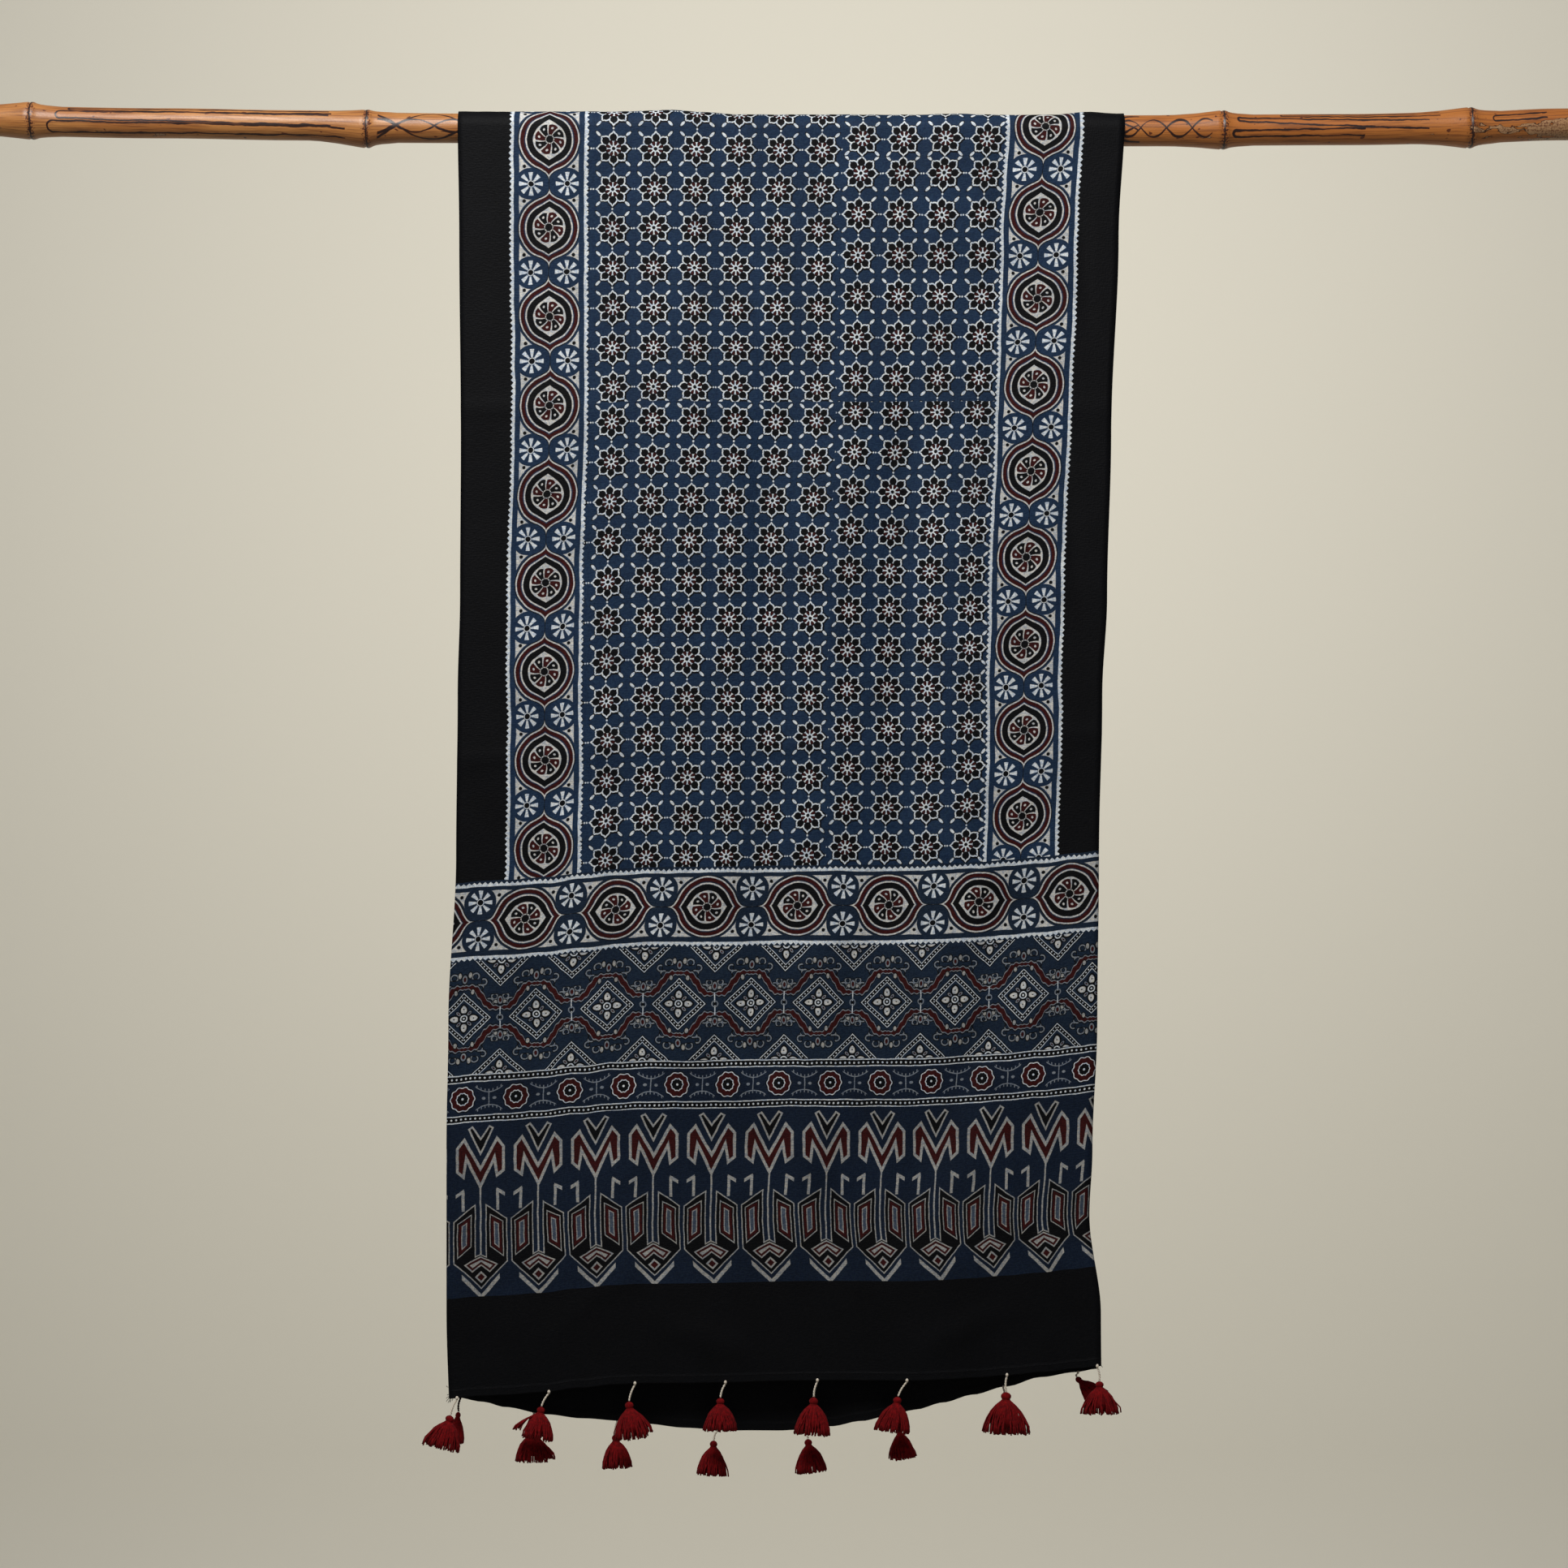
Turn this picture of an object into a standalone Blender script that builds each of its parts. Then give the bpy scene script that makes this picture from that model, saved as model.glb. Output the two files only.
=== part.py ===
"""A printed cotton stole that hangs doubled over a bamboo pole, with yarn tassels tied along both hems.

Run it with blender --background --python part.py, or from Blender's text editor.
The frame: the origin is on the pole's axis line at mid-length, +X runs along the pole, -Y is the
stole's front and +Z is up. The tables are in millimetres and the model is in metres.
"""

import math

import bmesh
import bpy
from mathutils import Vector

MM = 0.001
COLLECTION = "stole_on_bamboo_pole"

# The pole: a bamboo culm with its natural bow, cut square at both ends.
POLE_LENGTH = 1400
POLE_SIDES_RESOLUTION = 6
POLE_STRAIGHT_END = 12
POLE_STEP = 60
# Columns: x along the pole, height of the axis, radius of the culm between its nodes.
CULM = (
    (-688, 7.6, 12.2),
    (-513, 4.9, 12.3),
    (-400, 3.2, 12.3),
    (-344, 1.3, 12.4),
    (-270, 0.8, 12.1),
    (-200, 0.2, 11.9),
    (0, -1.4, 11.9),
    (200, -1.8, 11.9),
    (283, -1.3, 12.7),
    (465, -0.3, 12.7),
    (567, 1.4, 12.9),
    (640, 4.0, 13.0),
    (688, 4.6, 13.0),
)
# Columns: x of the node, how far its ring stands up, how far the ring sits above the axis.
POLE_NODES = (
    (-621, 3.2, 0.3),
    (-344, 3.3, -1.0),
    (-94, 1.2, 0.0),
    (143, 0.6, 0.0),
    (363, 3.3, 0.3),
    (567, 3.9, -0.2),
)
# Columns: distance from the ring, share of the ring's rise.
NODE_SHAPE = (
    (-40, 0.06),
    (-25, 0.32),
    (-12, 0.7),
    (-3, 0.97),
    (1, 1.0),
    (4, 0.72),
    (12, 0.26),
    (25, 0.0),
)

# The stole: one sheet, front hem to back hem.
SHEET_THICKNESS = 1.0
WRAP_GAP = 0.55
COLUMNS = 28
WRAP_STEPS = 12
HANGING_ROWS = 18
RING_SPREAD = 28
NARROWING = 0.2
BACK_TUCK = 1.5
# Columns: x along the pole, how far the stole stands off the top of the pole.
LIFT = (
    (-275, 0.4),
    (-150, 1.3),
    (-110, 1.5),
    (-94, 2.0),
    (-75, 1.5),
    (-60, 1.4),
    (-40, 0.2),
    (120, 0.2),
    (143, 0.7),
    (165, 0.3),
    (225, 0.3),
    (248, 1.9),
    (275, 0.3),
)
# Columns: height, x of the left edge, x of the right edge.
EDGES = (
    (15, -268.7, 280.7),
    (-92, -267.3, 275.4),
    (-253, -266.0, 269.3),
    (-387, -266.7, 266.0),
    (-468, -268.7, 262.0),
    (-602, -270.0, 259.3),
    (-736, -276.4, 258.0),
    (-843, -278.0, 254.0),
    (-896, -278.0, 251.5),
    (-977, -278.0, 261.0),
    (-1080, -275.4, 262.0),
)
# Columns: share of the width from the left edge, height of the front hem, height of the back hem.
HEMS = (
    (0.0, -1047.5, -1049.5),
    (0.047, -1045.3, -1053.7),
    (0.08, -1044.6, -1058.0),
    (0.144, -1042.3, -1064.1),
    (0.20, -1038.6, -1067.8),
    (0.257, -1035.4, -1070.0),
    (0.30, -1034.1, -1072.2),
    (0.357, -1033.9, -1074.7),
    (0.438, -1033.6, -1077.8),
    (0.505, -1032.9, -1078.2),
    (0.54, -1032.6, -1077.3),
    (0.586, -1032.4, -1074.1),
    (0.632, -1032.4, -1069.2),
    (0.675, -1032.4, -1064.6),
    (0.717, -1032.2, -1060.0),
    (0.760, -1031.2, -1054.4),
    (0.806, -1030.0, -1048.2),
    (0.859, -1028.0, -1041.4),
    (0.912, -1025.6, -1033.4),
    (0.965, -1022.6, -1029.2),
    (1.0, -1020.5, -1026.3),
)
# Folds that run down the cloth. Columns: share of the width where a fold starts at the pole and ends
# at the hem, shares of the fall between which it shows, half-width as a share, height of the fold.
FRONT_FOLDS = (
    (0.475, 0.495, 0.15, 0.80, 0.040, -4.0),
    (0.560, 0.585, 0.20, 0.90, 0.045, 4.0),
    (0.680, 0.700, 0.15, 0.72, 0.040, -4.0),
    (0.800, 0.820, 0.20, 0.95, 0.060, 3.0),
    (1.180, 0.660, 0.52, 0.92, 0.045, -3.5),
    (0.160, 0.150, 0.25, 0.85, 0.045, -2.5),
    (0.300, 0.320, 0.10, 1.20, 0.100, 3.0),
    (0.090, 0.400, 0.85, 1.20, 0.070, 2.5),
    (0.750, 0.740, 0.80, 1.20, 0.080, 3.0),
)
BACK_FOLDS = (
    (0.180, 0.240, 0.10, 1.20, 0.070, 4.0),
    (0.360, 0.370, 0.20, 1.20, 0.050, -3.0),
    (0.520, 0.500, 0.15, 1.20, 0.090, 4.5),
    (0.700, 0.660, 0.25, 1.20, 0.050, -3.5),
    (0.880, 0.840, 0.10, 1.20, 0.070, 3.5),
)
FOLD_FADE = 0.12

# The tassels and the threads that tie them to the hems.
THREAD_RADIUS = 0.9
THREAD_POINTS = 5
THREAD_SAG = 0.8
HEM_GAP = 0.9
HEAD_GAP = 0.45
TASSEL_STEPS = 10
TASSEL_DEPTH = 0.62
# Columns: share of the way down the tassel, share of its half-width. The thread comes in at the top.
TASSEL_SHAPE = (
    (0.0, 0.0),
    (0.01, 0.13),
    (0.07, 0.22),
    (0.14, 0.23),
    (0.20, 0.19),
    (0.32, 0.42),
    (0.55, 0.74),
    (0.80, 0.95),
    (0.97, 1.0),
    (1.0, 0.92),
    (1.0, 0.0),
)
# Columns: x of the thread on the hem, sideways and downward run of the thread, lean of the tassel to
# the right in degrees, its length and its full width.
FRONT_TASSELS = (
    (-269.3, -5.5, 14.1, -15, 27, 28),
    (-193.6, -6.3, 12.1, -9, 26, 26),
    (-122.6, -5.0, 14.8, 6, 30, 28),
    (-48.2, -4.2, 12.8, 0, 26, 27),
    (27.5, -3.0, 13.9, -3, 30, 29),
    (101.2, -7.5, 13.2, -9, 28, 27),
    (183.6, -0.6, 13.9, -2, 33, 35),
    (258.0, 1.8, 12.3, 1, 26, 27),
)
BACK_TASSELS = (
    (-268.5, -1.5, 11.9, -9, 25, 14),
    (-207.5, -1.5, 13.4, 0, 26, 27),
    (-138.5, -1.5, 11.4, 3, 27, 24),
    (-55.5, -2.7, 8.8, -4, 28, 24),
    (21.0, -1.2, 8.2, 7, 27, 24),
    (95.5, -0.5, 11.0, 10, 26, 19),
    (182.0, 0.5, 10.2, 5, 28, 20),
    (244.0, -1.4, 4.2, 46, 27, 18),
)

# Columns: name, colour, roughness.
FINISHES = {
    "bamboo": ((0.40, 0.16, 0.045, 1), 0.35),
    "printed_cotton": ((0.022, 0.062, 0.14, 1), 0.75),
    "red_yarn": ((0.20, 0.009, 0.012, 1), 0.85),
    "cream_thread": ((0.60, 0.50, 0.38, 1), 0.8),
}


def clear_scene():
    for obj in list(bpy.data.objects):
        bpy.data.objects.remove(obj, do_unlink=True)


def finish(name):
    """The named material, made once and shared."""
    material = bpy.data.materials.get(name)
    if material is None:
        colour, roughness = FINISHES[name]
        material = bpy.data.materials.new(name)
        material.use_nodes = True
        shader = material.node_tree.nodes["Principled BSDF"]
        shader.inputs["Base Color"].default_value = colour
        shader.inputs["Roughness"].default_value = roughness
        shader.inputs["Metallic"].default_value = 0
        material.diffuse_color = colour
    return material


def add_part(name, data, material_name, collection):
    """A new object for one piece, in the model's collection."""
    obj = bpy.data.objects.new(name, data)
    data.materials.append(finish(material_name))
    collection.objects.link(obj)
    return obj


def read_table(rows, column, at):
    """The value in a column, eased between the rows on either side of a place in the first column."""
    if at <= rows[0][0]:
        return rows[0][column]
    for low, high in zip(rows, rows[1:]):
        if at <= high[0]:
            share = (at - low[0]) / (high[0] - low[0])
            eased = share * share * (3 - 2 * share)
            return low[column] + (high[column] - low[column]) * eased
    return rows[-1][column]


def ramp(value, start, end):
    """0 before start, 1 after end, and a smooth climb between."""
    share = min(max((value - start) / (end - start), 0), 1)
    return share * share * (3 - 2 * share)


def pole_height(x):
    """Height of the culm's axis, without the rings' own offsets."""
    return read_table(CULM, 1, x)


def pole_stations():
    """x of every section along the pole."""
    half = POLE_LENGTH / 2
    near = [ring[0] + row[0] for ring in POLE_NODES for row in NODE_SHAPE]
    steps = round(POLE_LENGTH / POLE_STEP)
    plain = [-half + POLE_LENGTH * i / steps for i in range(1, steps)]
    clear = [x for x in plain if min(abs(x - other) for other in near) > POLE_STEP / 4]
    ends = [-half, -half + POLE_STRAIGHT_END, half - POLE_STRAIGHT_END, half]
    inside = [x for x in near + clear if abs(x) < half - 1.5 * POLE_STRAIGHT_END]
    return sorted(ends + inside)


def ring_rise(x):
    """How far the rings lift the culm's surface and its axis at x."""
    rise, offset = 0, 0
    for ring_x, ring_rise_here, ring_offset in POLE_NODES:
        away = x - ring_x
        if NODE_SHAPE[0][0] <= away <= NODE_SHAPE[-1][0]:
            share = read_table(NODE_SHAPE, 1, away)
            rise += ring_rise_here * share
            offset += ring_offset * share
    return rise, offset


def build_pole(collection):
    """The culm: a tube whose radius swells up to each ring and drops behind it."""
    curve = bpy.data.curves.new("bamboo_pole", "CURVE")
    curve.dimensions = "3D"
    curve.bevel_depth = MM
    curve.bevel_resolution = POLE_SIDES_RESOLUTION
    curve.use_fill_caps = True
    stations = pole_stations()
    spline = curve.splines.new("POLY")
    spline.points.add(len(stations) - 1)
    for point, x in zip(spline.points, stations):
        rise, offset = ring_rise(x)
        point.co = (x * MM, 0, (pole_height(x) + offset) * MM, 1)
        point.radius = read_table(CULM, 2, x) + rise
    return add_part("bamboo_pole", curve, "bamboo", collection)


def wrap_radius(x):
    """Radius of the sheet's middle surface over the pole, which rides up over the rings."""
    rise = sum(ring[1] * math.exp(-(((x - ring[0]) / RING_SPREAD) ** 2)) for ring in POLE_NODES)
    return read_table(CULM, 2, x) + WRAP_GAP + SHEET_THICKNESS / 2 + rise


def fold_height(folds, across, fall):
    """How far the folds push the cloth outwards at a place on one layer."""
    total = 0
    for top, bottom, starts, ends, half_width, height in folds:
        centre = top + (bottom - top) * fall
        bell = math.exp(-(((across - centre) / half_width) ** 2))
        shown = ramp(fall, starts, starts + FOLD_FADE) * (1 - ramp(fall, ends - FOLD_FADE, ends))
        total += height * bell * shown
    return total


def edge_x(across, height, tuck):
    """x at a share of the width, with the edges drawn in by tuck."""
    rows = [(-row[0], row[1] + tuck, row[2] - tuck) for row in EDGES]
    left = read_table(rows, 1, -height)
    right = read_table(rows, 2, -height)
    return left + (right - left) * across


def hanging_point(across, fall, side):
    """A point on the front layer (side -1) or the back layer (side 1), a share of the way down."""
    tuck = 0 if side < 0 else BACK_TUCK * ramp(fall, 0, 0.2)
    at_pole = edge_x(across, 0, 0)
    top = pole_height(at_pole)
    bottom = read_table(HEMS, 1 if side < 0 else 2, across)
    height = top + (bottom - top) * fall
    folds = FRONT_FOLDS if side < 0 else BACK_FOLDS
    out = wrap_radius(at_pole) * (1 - NARROWING * fall) + fold_height(folds, across, fall)
    return Vector((edge_x(across, height, tuck), side * out, height))


def wrapped_point(across, turn):
    """A point on the bend over the pole: turn runs from 0 at the front to 1 at the back."""
    x = edge_x(across, 0, 0)
    angle = math.pi * turn
    lift = read_table(LIFT, 1, x) * math.sin(angle) ** 2
    radius = wrap_radius(x) + lift
    return Vector((x, -radius * math.cos(angle), pole_height(x) + radius * math.sin(angle)))


def stole_rows():
    """One function of the share across for every row of the sheet, front hem to back hem."""
    rows = []
    for i in range(HANGING_ROWS):
        rows.append(lambda across, fall=1 - i / HANGING_ROWS: hanging_point(across, fall, -1))
    for i in range(WRAP_STEPS + 1):
        rows.append(lambda across, turn=i / WRAP_STEPS: wrapped_point(across, turn))
    for i in range(HANGING_ROWS):
        rows.append(lambda across, fall=(i + 1) / HANGING_ROWS: hanging_point(across, fall, 1))
    return rows


def build_stole(collection):
    """The draped sheet: a grid laid over the pole, then given its thickness."""
    rows = stole_rows()
    mesh = bpy.data.meshes.new("stole")
    grid = bmesh.new()
    bmesh.ops.create_grid(grid, x_segments=COLUMNS, y_segments=len(rows) - 1, size=0.5)
    for vertex in grid.verts:
        row = round((vertex.co.y + 0.5) * (len(rows) - 1))
        vertex.co = rows[row](vertex.co.x + 0.5) * MM
    grid.to_mesh(mesh)
    grid.free()
    stole = add_part("stole", mesh, "printed_cotton", collection)
    solidify = stole.modifiers.new("thickness", "SOLIDIFY")
    solidify.thickness = SHEET_THICKNESS * MM
    solidify.offset = 0
    return stole


def hem_point(x, side):
    """The point on a hem at x, and how far across the cloth it is."""
    column = 1 if side < 0 else 2
    across = 0.5
    for _ in range(12):
        point = hanging_point(across, 1, side)
        across += (x - point.x) / (EDGES[-1][2] - EDGES[-1][1])
    return Vector((x, point.y, read_table(HEMS, column, across)))


def build_thread(name, start, end, collection):
    """A short twisted thread from the hem to a tassel's head."""
    curve = bpy.data.curves.new(name, "CURVE")
    curve.dimensions = "3D"
    curve.bevel_depth = THREAD_RADIUS * MM
    curve.bevel_resolution = 2
    curve.use_fill_caps = True
    spline = curve.splines.new("POLY")
    spline.points.add(THREAD_POINTS - 1)
    for i, point in enumerate(spline.points):
        share = i / (THREAD_POINTS - 1)
        place = start.lerp(end, share)
        sag = THREAD_SAG * math.sin(math.pi * share) * (1 if end.x > start.x else -1)
        point.co = ((place.x + sag) * MM, place.y * MM, place.z * MM, 1)
    add_part(name, curve, "cream_thread", collection)


def build_tassel(name, top, lean, length, width, collection):
    """A bound head and a skirt of yarn, turned about the tassel's own axis and pressed flatter."""
    mesh = bpy.data.meshes.new(name)
    profile = bmesh.new()
    points = [
        profile.verts.new((width / 2 * row[1] * MM, 0, -length * row[0] * MM)) for row in TASSEL_SHAPE
    ]
    for upper, lower in zip(points, points[1:]):
        profile.edges.new((upper, lower))
    profile.to_mesh(mesh)
    profile.free()
    tassel = add_part(name, mesh, "red_yarn", collection)
    turn = tassel.modifiers.new("turn", "SCREW")
    turn.steps = TASSEL_STEPS
    turn.render_steps = TASSEL_STEPS
    turn.use_merge_vertices = True
    turn.merge_threshold = 0.00001
    tassel.scale = (1, TASSEL_DEPTH, 1)
    tassel.rotation_euler = (0, -math.radians(lean), 0)
    tassel.location = top * MM
    return tassel


def build_fringe(layer, side, rows, collection):
    """The threads and tassels of one hem."""
    for number, (x, sideways, down, lean, length, width) in enumerate(rows, 1):
        hem = hem_point(x, side)
        start = hem - Vector((0, 0, HEM_GAP))
        head = hem + Vector((sideways, 0, -down))
        along = (head - start).normalized()
        build_thread(f"{layer}_thread_{number}", start, head - along * HEAD_GAP, collection)
        top = head + Vector((0, 0, -THREAD_RADIUS / 2))
        build_tassel(f"{layer}_tassel_{number}", top, lean, length, width, collection)


def main():
    clear_scene()
    collection = bpy.data.collections.new(COLLECTION)
    bpy.context.scene.collection.children.link(collection)
    build_pole(collection)
    build_stole(collection)
    build_fringe("front", -1, FRONT_TASSELS, collection)
    build_fringe("back", 1, BACK_TASSELS, collection)


main()
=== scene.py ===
import math
import random

import bmesh
import bpy
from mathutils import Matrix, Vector, noise


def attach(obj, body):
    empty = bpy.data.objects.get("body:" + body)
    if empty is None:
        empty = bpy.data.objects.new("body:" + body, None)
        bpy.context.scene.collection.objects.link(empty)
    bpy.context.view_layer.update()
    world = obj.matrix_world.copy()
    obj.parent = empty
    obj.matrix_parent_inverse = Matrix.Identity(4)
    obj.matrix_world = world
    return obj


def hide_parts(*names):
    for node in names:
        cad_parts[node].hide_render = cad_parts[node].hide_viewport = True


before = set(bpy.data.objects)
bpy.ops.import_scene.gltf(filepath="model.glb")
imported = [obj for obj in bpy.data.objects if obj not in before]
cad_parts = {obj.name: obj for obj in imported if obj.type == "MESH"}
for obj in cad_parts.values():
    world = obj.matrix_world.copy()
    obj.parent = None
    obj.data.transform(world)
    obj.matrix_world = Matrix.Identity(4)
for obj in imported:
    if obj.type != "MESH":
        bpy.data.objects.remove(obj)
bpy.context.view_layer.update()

MM = 0.001

# ---------------------------------------------------------------------------------------------------
# The drape's sizes, in millimetres. X runs along the pole, -Y is the front and Z is up.

POLE_LENGTH = 1400
# Columns: x along the pole, height of the axis, radius of the culm between its nodes.
CULM = (
    (-688, 7.6, 12.2),
    (-513, 4.9, 12.3),
    (-400, 3.2, 12.3),
    (-344, 1.3, 12.4),
    (-270, 0.8, 12.1),
    (-200, 0.2, 11.9),
    (0, -1.4, 11.9),
    (200, -1.8, 11.9),
    (283, -1.3, 12.7),
    (465, -0.3, 12.7),
    (567, 1.4, 12.9),
    (640, 4.0, 13.0),
    (688, 4.6, 13.0),
)
# Columns: x of the node, how far its ring stands up, how far the ring sits above the axis.
POLE_NODES = (
    (-621, 3.2, 0.3),
    (-344, 3.3, -1.0),
    (-94, 1.2, 0.0),
    (143, 0.6, 0.0),
    (363, 3.3, 0.3),
    (567, 3.9, -0.2),
)
# Columns: distance from the ring, share of the ring's rise, with the scar's groove just before it.
NODE_SHAPE = (
    (-40, 0.06),
    (-25, 0.32),
    (-12, 0.7),
    (-6, 0.9),
    (-3.2, 0.97),
    (-2.2, 0.86),
    (-1.4, 0.84),
    (-0.4, 0.98),
    (1, 1.0),
    (2.4, 0.86),
    (3.2, 0.78),
    (4, 0.66),
    (7, 0.44),
    (12, 0.26),
    (25, 0.0),
)
SHEET_THICKNESS = 1.0
HEM_THICKNESS = 1.1
SINGLE_SHARE = 0.55  # the plain cloth's thickness, as a share of the hem's
WRAP_GAP = 0.55
RING_SPREAD = 28  # how far along the pole a ring lifts the cloth
NARROWING = 0.2  # share of the gap to the pole's axis that the cloth loses by the hem
BACK_TUCK = 1.5  # how far the back layer's edges lie inside the front layer's
# Columns: x along the pole, how far the stole stands off the top of the pole.
LIFT = (
    (-275, 0.4),
    (-150, 1.3),
    (-110, 1.5),
    (-94, 2.0),
    (-75, 1.5),
    (-60, 1.4),
    (-40, 0.2),
    (120, 0.2),
    (143, 0.7),
    (165, 0.3),
    (225, 0.3),
    (248, 1.9),
    (275, 0.3),
)
# Columns: height, x of the left edge, x of the right edge.
EDGES = (
    (15, -268.7, 280.7),
    (-92, -267.3, 275.4),
    (-253, -266.0, 269.3),
    (-387, -266.7, 266.0),
    (-468, -268.7, 262.0),
    (-602, -270.0, 259.3),
    (-736, -276.4, 258.0),
    (-843, -278.0, 254.0),
    (-896, -278.0, 251.5),
    (-977, -278.0, 261.0),
    (-1080, -275.4, 262.0),
)
# Columns: share of the width from the left edge, height of the front hem, height of the back hem.
HEMS = (
    (0.0, -1047.5, -1049.5),
    (0.047, -1045.3, -1053.7),
    (0.08, -1044.6, -1058.0),
    (0.144, -1042.3, -1064.1),
    (0.20, -1038.6, -1067.8),
    (0.257, -1035.4, -1070.0),
    (0.30, -1034.1, -1072.2),
    (0.357, -1033.9, -1074.7),
    (0.438, -1033.6, -1077.8),
    (0.505, -1032.9, -1078.2),
    (0.54, -1032.6, -1077.3),
    (0.586, -1032.4, -1074.1),
    (0.632, -1032.4, -1069.2),
    (0.675, -1032.4, -1064.6),
    (0.717, -1032.2, -1060.0),
    (0.760, -1031.2, -1054.4),
    (0.806, -1030.0, -1048.2),
    (0.859, -1028.0, -1041.4),
    (0.912, -1025.6, -1033.4),
    (0.965, -1022.6, -1029.2),
    (1.0, -1020.5, -1026.3),
)
# Broad folds that run down the cloth. Columns: share of the width where a fold starts at the pole and
# ends at the hem, shares of the fall between which it shows, half-width as a share, height of the fold.
FRONT_FOLDS = (
    (0.475, 0.495, 0.15, 0.80, 0.040, -4.0),
    (0.560, 0.585, 0.20, 0.90, 0.045, 4.0),
    (0.680, 0.700, 0.15, 0.72, 0.040, -4.0),
    (0.800, 0.820, 0.20, 0.95, 0.060, 3.0),
    (1.180, 0.660, 0.52, 0.92, 0.045, -3.5),
    (0.160, 0.150, 0.25, 0.85, 0.045, -2.5),
    (0.300, 0.320, 0.10, 1.20, 0.100, 3.0),
    (0.090, 0.400, 0.85, 1.20, 0.070, 2.5),
    (0.750, 0.740, 0.80, 1.20, 0.080, 3.0),
)
BACK_FOLDS = (
    (0.180, 0.240, 0.10, 1.20, 0.070, 4.0),
    (0.360, 0.370, 0.20, 1.20, 0.050, -3.0),
    (0.520, 0.500, 0.15, 1.20, 0.090, 4.5),
    (0.700, 0.660, 0.25, 1.20, 0.050, -3.5),
    (0.880, 0.840, 0.10, 1.20, 0.070, 3.5),
)
FOLD_FADE = 0.12
# Small creases, one row each. Columns: x and height of its middle, half-length,
# lean from upright in degrees, half-width, height.
FRONT_CREASES = (
    (-40, -30, 26, 6, 5, 0.7),
    (30, -34, 30, -8, 5, -0.8),
    (118, -40, 34, 12, 6, 0.8),
    (205, -36, 28, -10, 5, 0.7),
    (-150, -38, 30, 8, 6, -0.7),
    (-215, -60, 44, 4, 7, 0.8),
    (246, -110, 60, -4, 6, -1.0),
    (228, -150, 70, 5, 8, 0.9),
    (-226, -190, 70, -3, 8, -0.8),
    (-60, -330, 120, 2, 12, -0.9),
    (60, -300, 110, -3, 12, 0.9),
    (236, -330, 90, -7, 8, -1.1),
    (214, -420, 80, 9, 9, 0.9),
    (-20, -420, 150, 2, 9, -0.9),
    (108, -470, 120, -2, 9, -0.9),
    (150, -600, 60, -60, 12, 1.4),
    (192, -700, 130, 28, 14, -1.6),
    (225, -640, 90, 30, 12, 1.2),
    (-190, -560, 120, 3, 12, -0.9),
    (-120, -640, 90, -5, 12, 0.8),
    (-235, -800, 90, 4, 9, -0.8),
    (-70, -820, 120, -8, 14, 0.9),
    (40, -860, 110, 7, 13, -0.8),
    (-60, -1000, 40, -70, 12, 1.4),
    (148, -990, 40, 65, 12, 1.3),
    (225, -900, 80, -14, 9, 0.9),
    (-150, -960, 60, 50, 10, 0.9),
)
# Creases left by folding the cloth flat. Columns: height at the left edge, at the right edge, half-width,
# height of the ridge.
PACKING_CREASES = (
    (-232, -233, 3.5, 0.9),
    (-521, -499, 3.5, 1.0),
    (-805, -780, 3.5, 0.5),
)
CREASE_SHOULDER = 22  # how far the soft rise beside a packing crease reaches
BACK_CREASE_SHIFT = 37  # the back layer has the same small creases, this far aside
# Small waves all over. Columns: their size, their height.
PUCKER_ROWS = (
    (52, 0.55),
    (19, 0.22),
    (8, 0.07),
)

# ---------------------------------------------------------------------------------------------------
# The print's lay-out, in millimetres up from each hem and across from the left edge.

PRINT_WIDTH = 548.7
TOP_OF_PANEL = 424.5
TOP_OF_LATTICE = 358.5
TOP_OF_ROSETTES = 265.5
TOP_OF_TREES = 225.5
TOP_OF_HEM_BAND = 82.0
PANEL_STEPS = (0, TOP_OF_HEM_BAND, TOP_OF_TREES, TOP_OF_ROSETTES, TOP_OF_LATTICE, TOP_OF_PANEL)
V_AT_POLE = 1036.0
BEND_RADIUS = 13.2  # of the print, where it goes over the pole
MIDDLE = 278.05
INNER_STRIPE = 173.5
OUTER_STRIPE = 234.3
HEM_DEPTH = 6.4
HEM_ROWS = (0.0, 0.8, 2.5, 4.3, 5.6, 6.4, 7.0, 8.2, 10.5)
ROW_STEP = 6.2
COLUMN_STEP = 5.3
WRAP_ROWS = 24
WRAP_PUCKER = 0.35
WRAP_PUCKER_SIZE = 9
# Pitch of a run of motifs, and the middle of one of them.
STAR_COLUMNS = (34.4, 127.1)
STAR_ROWS = (32.8, 432.4)
BORDER_RUN = (72.2, 447.8)
END_RUN = (77.2, 60.6)
BORDER_MIDDLE = 203.9  # from the cloth's middle to the middle of a side border
RIGHT_BORDER_STEP = 12.5
# The stars were stamped in blocks: where the right-hand ones start and how far they step across and up,
# and where the rows above step again.
RIGHT_BLOCKS = 315.5
BLOCK_STEP_ACROSS = 1.8
BLOCK_STEP_UP = 6.9
UPPER_BLOCKS, UPPER_STEP = 809, 4.9
TOP_BLOCKS, TOP_STEP = 1012, 4.8
STRETCH_FROM, STRETCH = 813, -0.035
# Runs stamped at one pitch and then at another. Columns: middle of the first motif, its pitch, where the
# pitch changes, the later pitch, the width that the motif is drawn at.
LATTICE_RUN = (13.2, 60.5, 254, 57.7, 57.0)
ROSETTE_RUN = (13.1, 45.4, 195, 43.0, 43.9)
TREE_RUN = (28.8, 49.1, 323.4, 46.3, 47.3)


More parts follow.
